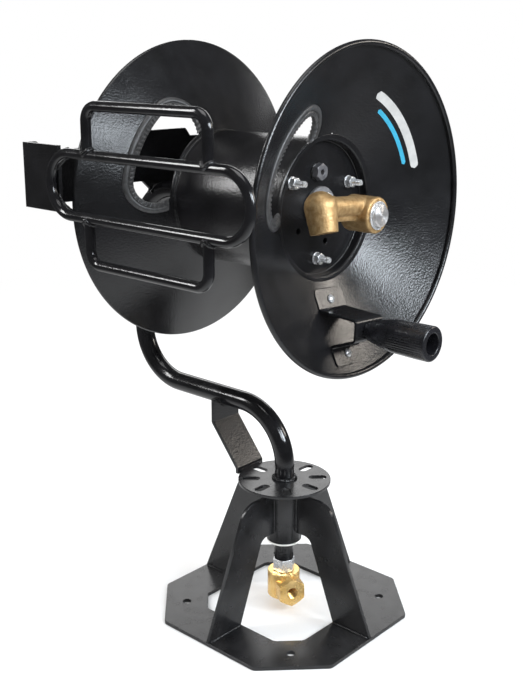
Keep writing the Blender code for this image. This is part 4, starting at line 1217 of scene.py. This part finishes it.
def outlet():
    """The cast outlet: a barrel on the spindle's end, a hollow arm, and the hose elbow."""
    grow = CAST_GROWTH
    axis = local(rotation=ALONG_X)
    face = BARREL_OUT_X + grow
    wall = BARREL_RADIUS + grow
    barrel = [(0, face), (wall, face), (wall, BARREL_IN_X), (0, BARREL_IN_X)]
    blocks = [turned("barrel", rounded(barrel, [0, 0.0030, 0.006, 0]), axis)]
    joint_y = -(OUTLET_REACH - ELBOW_RADIUS - 0.004)
    bars = {"arm": (OUTLET_ARM_RADIUS + grow, 0), "rib": (0.0042, 0.0138), "web": (0.0033, 0.0105)}
    for name, (radius, below) in bars.items():
        place = local((OUTLET_X, joint_y / 2, OUTLET_RISE - below), ALONG_Y)
        blocks.append(cylinder(name, radius, -joint_y, place))
        if name == "rib":
            blocks[-1].scale = (0.85, 1, 1)
    body = cast("outlet_manifold_cast", blocks, 5)
    bore = PIPE_RADIUS + GAP
    counterbore = 0.0172
    chamber = [
        (0, BARREL_OUT_X + 0.01),
        (counterbore, BARREL_OUT_X + 0.01),
        (counterbore, BARREL_OUT_X - 0.0012),
        (bore, BARREL_OUT_X - 0.0016),
        (bore, BARREL_IN_X - 0.01),
        (0, BARREL_IN_X - 0.01),
    ]
    body = cut(body, turned("chamber", chamber, axis, 128))
    finish(body, "drum", "cast_brass", "outlet_manifold")
    tilt = local((OUTLET_X, -OUTLET_REACH, OUTLET_RISE), (0, -ELBOW_TILT, 0))
    drop = ELBOW_DROP + grow
    radius = ELBOW_RADIUS + grow
    dome = arc((0, 0), radius, QUARTER, 0, 24)
    spout = [(0, radius), *dome[1:], (ELBOW_END_RADIUS + grow, -drop), (0, -drop)]
    neck_end = joint_y - GAP
    place = local((OUTLET_X, (neck_end - OUTLET_REACH) / 2, OUTLET_RISE), ALONG_Y)
    neck = cylinder("neck", OUTLET_ARM_RADIUS + 0.0018, OUTLET_REACH + neck_end, place)
    elbow = cast("outlet_elbow_cast", [turned("spout", spout, tilt), neck], 4)
    face = tilt @ local((0, 0, -ELBOW_DROP))
    threads = tapped("elbow_threads", 0.0095, 0.0008, 0.020, 0.0016, 0.0013, 0.022, face)
    finish(cut(elbow, threads), "drum", "cast_brass", "outlet_elbow")


# --- Crank ---

def crank_place(radius, height):
    """On the crank-side dish, straight below the axis, with local Z along the dish's normal."""
    spot = on_dish(1, Vector((0, -radius)), height)
    return local(spot, (0, QUARTER - DISH_ANGLE, 0))


def crank():
    """The folded bracket on the dish, with its two screws and nuts."""
    seat = FLANGE_SHEET / 2 + CRANK_SHEET / 2
    ends = [on_dish(1, Vector((0, -radius)), seat) for radius in CRANK_FEET]
    feet = [Vector((spot.x, spot.z)) for spot in ends]
    folds = [(CRANK_PLATE_X, -radius) for radius in CRANK_FOLDS]
    outline = strip_outline(bent([*feet[:2], *folds, *feet[2:]], CRANK_BEND), CRANK_SHEET)
    place = local(rotation=(QUARTER, 0, 0))
    folded = solid(sheet("crank_bracket_bent", [outline], CRANK_WIDTH, place, edge=0.0001))
    half = CRANK_WIDTH / 2
    low = -CRANK_FEET[-1]
    high = -CRANK_FEET[0]
    outline = rounded([(-half, low), (half, low), (half, high), (-half, high)], CRANK_CORNER)
    front = sheet("bracket_outline", [outline], 0.2, local((0.1, 0, 0), FACING_X), edge=0.0001)
    bracket = combine(folded, [front], "INTERSECT")
    finish(crisp(ease(bracket, 0.0005, 2)), "drum", "gloss", "crank_bracket")
    for i, radius in enumerate(CRANK_SCREWS):
        crank_screw(i + 1, crank_place(radius, 0))


def crank_screw(number, place):
    """A pan-head screw through the bracket and the dish, and its nut inside."""
    crown = FLANGE_SHEET / 2 + CRANK_SHEET + GAP
    profile = [
        (0, crown + SCREW_HEAD),
        (0.0018, crown + 0.0033),
        (0.0040, crown + 0.0025),
        (0.0054, crown + 0.0010),
        (0.0055, crown),
        (SCREW_RADIUS, crown),
        *thread(SCREW_RADIUS, 0.0003, crown - 0.004, SCREW_TIP, 0.0008),
        (0, SCREW_TIP),
    ]
    screw = turned("crank_screw_%d_pan" % number, profile, place, 48)
    slot = [(-0.003, -0.0005), (0.003, -0.0005), (0.003, 0.0005), (-0.003, 0.0005)]
    for turn in (0, QUARTER):
        recess = place @ local((0, 0, crown + SCREW_HEAD), (0, 0, turn + 0.4 * number))
        screw = cut(screw, sheet("recess", [rounded(slot, 0.0002)], 0.004, recess, edge=0.0001))
    finish(screw, "drum", "zinc", "crank_screw_%d" % number)
    low = local((0, 0, -(FLANGE_SHEET / 2 + 0.0032)))
    nut = hexagon("crank_nut_%d_hex" % number, SCREW_HEX, SCREW_NUT, place @ low, 0.0026)
    finish(nut, "drum", "zinc", "crank_nut_%d" % number)


def grip():
    """The hollow plastic grip with groups of fine grooves, on its bolt."""
    hole = GRIP_BOLT_RADIUS + GAP
    start = CRANK_PLATE_X + CRANK_SHEET / 2 + GAP
    corners = [
        (GRIP_BORE, GRIP_END_X, 0.0014),
        (0.0215, GRIP_END_X, 0.0024),
        (0.0213, 0.2130, 0.04),
        (0.0203, 0.1820, 0.02),
        (0.0175, 0.1660, 0.012),
        (0.0120, start, 0.0012),
        (hole, start, 0),
        (hole, GRIP_SHOULDER_X, 0),
        (GRIP_BORE, GRIP_SHOULDER_X, 0.002),
    ]
    outline = rounded([(r, x) for r, x, bend in corners], [bend for r, x, bend in corners], 10)
    body = turned("crank_grip_moulded", outline, local(rotation=ALONG_X), 360)
    length = GRIP_END_X - 0.0060 - GRIP_GROOVES_X
    for vertex in body.data.vertices:
        radius = vertex.co.xy.length
        reach = (vertex.co.z - GRIP_GROOVES_X) / length
        if radius < GRIP_BORE + 0.002 or not 0 < reach < 1:
            continue
        turn = math.degrees(math.atan2(vertex.co.y, vertex.co.x) + 0.35) % 90
        across = turn % 9 / 4
        if turn < 58 and across < 1:
            fade = min(1, reach * 14, (1 - reach) * 14)
            depth = GRIP_GROOVE_DEPTH * math.sin(math.pi * across)
            vertex.co.xy *= 1 - depth * fade / radius
    finish(shade(body, 60), "grip", "grip", "crank_grip")
    low = -CRANK_RADIUS
    place = local((GRIP_SHOULDER_X + GAP + GRIP_HEAD / 2, 0, low), ALONG_X)
    head = hexagon("grip_bolt_hex", GRIP_HEX, GRIP_HEAD, place)
    place = local((0.1455, 0, low), ALONG_X)
    shank = cylinder("grip_shank", GRIP_BOLT_RADIUS, 0.034, place, edge=0.0006)
    finish(join(head, shank), "drum", "zinc", "grip_bolt")
    nut_x = CRANK_PLATE_X - CRANK_SHEET / 2 - GAP - GRIP_NUT / 2
    place = local((nut_x, 0, low), ALONG_X)
    nut = hexagon("grip_nut_hex", GRIP_HEX, GRIP_NUT, place, GRIP_BOLT_RADIUS)
    finish(nut, "drum", "zinc", "grip_nut")


# --- Markings ---

def stripe(name, look_name, radius, width, first, last):
    """A plain painted stripe on the crank-side dish, concentric with it."""
    points = []
    faces = []
    count = 48
    for i in range(count):
        turn = first + (last - first) * i / (count - 1)
        from_end = min(i, count - 1 - i) / (count - 1) * (last - first) * radius
        taper = math.sqrt(1 - max(0, 1 - from_end / (width / 2)) ** 2) or 0.05
        for across in (-0.5, 0.5):
            spot = polar(radius + across * width * taper, turn)
            for height in (FLANGE_SHEET / 2 - 0.0002, FLANGE_SHEET / 2 + 0.0001):
                points.append(on_dish(1, spot, height))
        if i:
            a = 4 * i
            b = a - 4
            faces += [(a, a + 1, b + 1, b), (a + 2, a + 3, b + 3, b + 2),
                      (a + 1, a + 3, b + 3, b + 1), (a, a + 2, b + 2, b)]
    last_ring = 4 * (count - 1)
    faces += [(0, 1, 3, 2), (last_ring, last_ring + 1, last_ring + 3, last_ring + 2)]
    finish(mesh_object(name, points, faces), "drum", look_name)


# --- Studio ---

def floor():
    """A pale floor that fades into the white backdrop and is darker in reflections, where its colour is painted
    shade: bright near the reel, dark further off.
    """
    half = 30
    corners = [(-half, -half), (half, -half), (half, half), (-half, half)]
    place = local((0, 0, -0.0052))
    slab = sheet("studio_floor", [rounded(corners, 0.5)], 0.01, place, edge=0.001)
    material = look("floor_paint", ((0.74, 0.74, 0.74), (0.77, 0.77, 0.77)), 3,
                    (0.5, 0.6), 8, ((300, 0.0001),))
    tree = material.node_tree
    shader = tree.nodes["Principled BSDF"]
    path = tree.nodes.new("ShaderNodeLightPath")
    place = feed(tree, "ShaderNodeTexCoord", {}, "Object")
    reach = feed(tree, "ShaderNodeVectorMath", {0: place}, "Value", operation="LENGTH")
    fade = {"Value": reach, "From Min": 0.6, "From Max": 2.2}
    fade = feed(tree, "ShaderNodeMapRange", fade, "Result")
    white = feed(tree, "ShaderNodeEmission", {}, "Emission")
    shown = feed(tree, "ShaderNodeMixShader", {0: fade, 1: shader.outputs[0], 2: white}, 0)
    # Painted shade for reflections: the floor seen in reflections goes from bright near the reel to dark further
    # off.
    pale = {"Value": reach, "From Min": 0.4, "From Max": 1.2, "To Min": 0.55, "To Max": 0.06}
    pale = feed(tree, "ShaderNodeMapRange", pale, "Result")
    dark = feed(tree, "ShaderNodeBsdfDiffuse", {"Color": pale}, 0)
    glossy = path.outputs["Is Glossy Ray"]
    final = feed(tree, "ShaderNodeMixShader", {0: glossy, 1: shown, 2: dark}, 0)
    tree.links.new(final, tree.nodes["Material Output"].inputs["Surface"])
    slab.data.materials.append(material)


def softbox(name, direction, distance, size, power, colour=(1, 1, 1)):
    """A rectangular light that looks at the middle of the reel."""
    aim = Vector((0.0, 0.0, 0.42))
    direction = Vector(direction).normalized()
    data = bpy.data.lights.new(name, "AREA")
    data.shape = "RECTANGLE"
    data.size, data.size_y = size
    data.energy = power
    data.color = colour
    turn = direction.to_track_quat("Z", "Y").to_matrix().to_4x4()
    place = Matrix.Translation(aim + direction * distance) @ turn
    link(name, data, place).visible_camera = False


def backdrop():
    """White behind the reel for the camera, and a dimmer room for its reflections."""
    world = bpy.data.worlds.new("studio")
    world.use_nodes = True
    tree = world.node_tree
    sky = tree.nodes["Background"]
    path = tree.nodes.new("ShaderNodeLightPath")
    glossy = path.outputs["Is Glossy Ray"]
    level = {"Value": glossy, "To Min": 1.0, "To Max": 0.09}
    level = feed(tree, "ShaderNodeMapRange", level, "Result")
    tree.links.new(level, sky.inputs["Strength"])
    sky.inputs["Color"].default_value = (1, 1, 1, 1)
    bpy.context.scene.world = world
    bpy.context.scene.view_settings.view_transform = "Standard"


def camera():
    """Looks at the reel from its crank side and front, a little from above."""
    data = bpy.data.cameras.new("camera")
    azimuth = math.radians(41.6912)
    pitch = math.radians(14.5587)
    roll = math.radians(0.2386)
    stand = Vector((0.853765, -0.989065, 0.758625)) + Vector((SWIVEL.x, SWIVEL.y, 0))
    forward = Vector((-math.sin(azimuth) * math.cos(pitch), math.cos(azimuth) * math.cos(pitch),
                      -math.sin(pitch)))
    right = Vector((math.cos(azimuth), math.sin(azimuth), 0))
    up = right.cross(forward)
    turn = Matrix((right, up, -forward)).transposed().to_4x4()
    data.sensor_fit = "VERTICAL"
    data.sensor_height = 36
    data.lens = 52.7047
    data.shift_x = -0.012607
    data.shift_y = -0.048855
    place = Matrix.Translation(stand) @ turn @ Matrix.Rotation(roll, 4, "Z")
    bpy.context.scene.camera = link("camera", data, place)


# --- Assembly ---

for row in frame["record"]["subparts"]:
    node = frame["nodes"][row["node"]]
    node.data.materials.clear()
    node.data.materials.append(LOOKS[LOOKS_OF_SLOT[row["material_slot"]][0]])

base_plate()
for turn, fin_name in enumerate(("fin_right", "fin_back", "fin_left", "fin_front")):
    fin(fin_name, turn * QUARTER)
pivot()
pipe()
index_plate()
strap()
guide_arm()
hose_guide()
spindle()
stem()
inlet()
core()
for side, word in ((1, "right"), (-1, "left")):
    flange(side, word)
    port_trim(side, word)
    hub(side, word)
for i, angle in enumerate(TIE_ANGLES):
    tie(i + 1, angle)
boss()
outlet()
crank()
grip()
stripe("stripe_pale", "pale_stripe", 0.150, 0.010, math.radians(20), math.radians(72))
stripe("stripe_blue", "blue_stripe", 0.137, 0.005, math.radians(24), math.radians(64))

COOL = (0.86, 0.93, 1.0)
WARM = (1.0, 0.93, 0.84)
floor()
backdrop()
softbox("light_right", (0.92, 0.16, 0.44), 2.0, (0.7, 0.6), 34, COOL)
softbox("light_side", (0.86, -0.21, 0.457), 2.0, (0.5, 0.5), 12, COOL)
softbox("light_behind", (0.58, 0.72, 0.36), 2.2, (0.5, 0.5), 9, WARM)
softbox("light_left", (-0.66, -0.70, 0.60), 2.2, (0.35, 1.1), 22)
softbox("light_back", (-0.65, 0.74, 0.34), 2.4, (2.4, 0.7), 14)
softbox("light_top", (0.1, -0.1, 1.0), 1.9, (1.2, 1.2), 14)
camera()
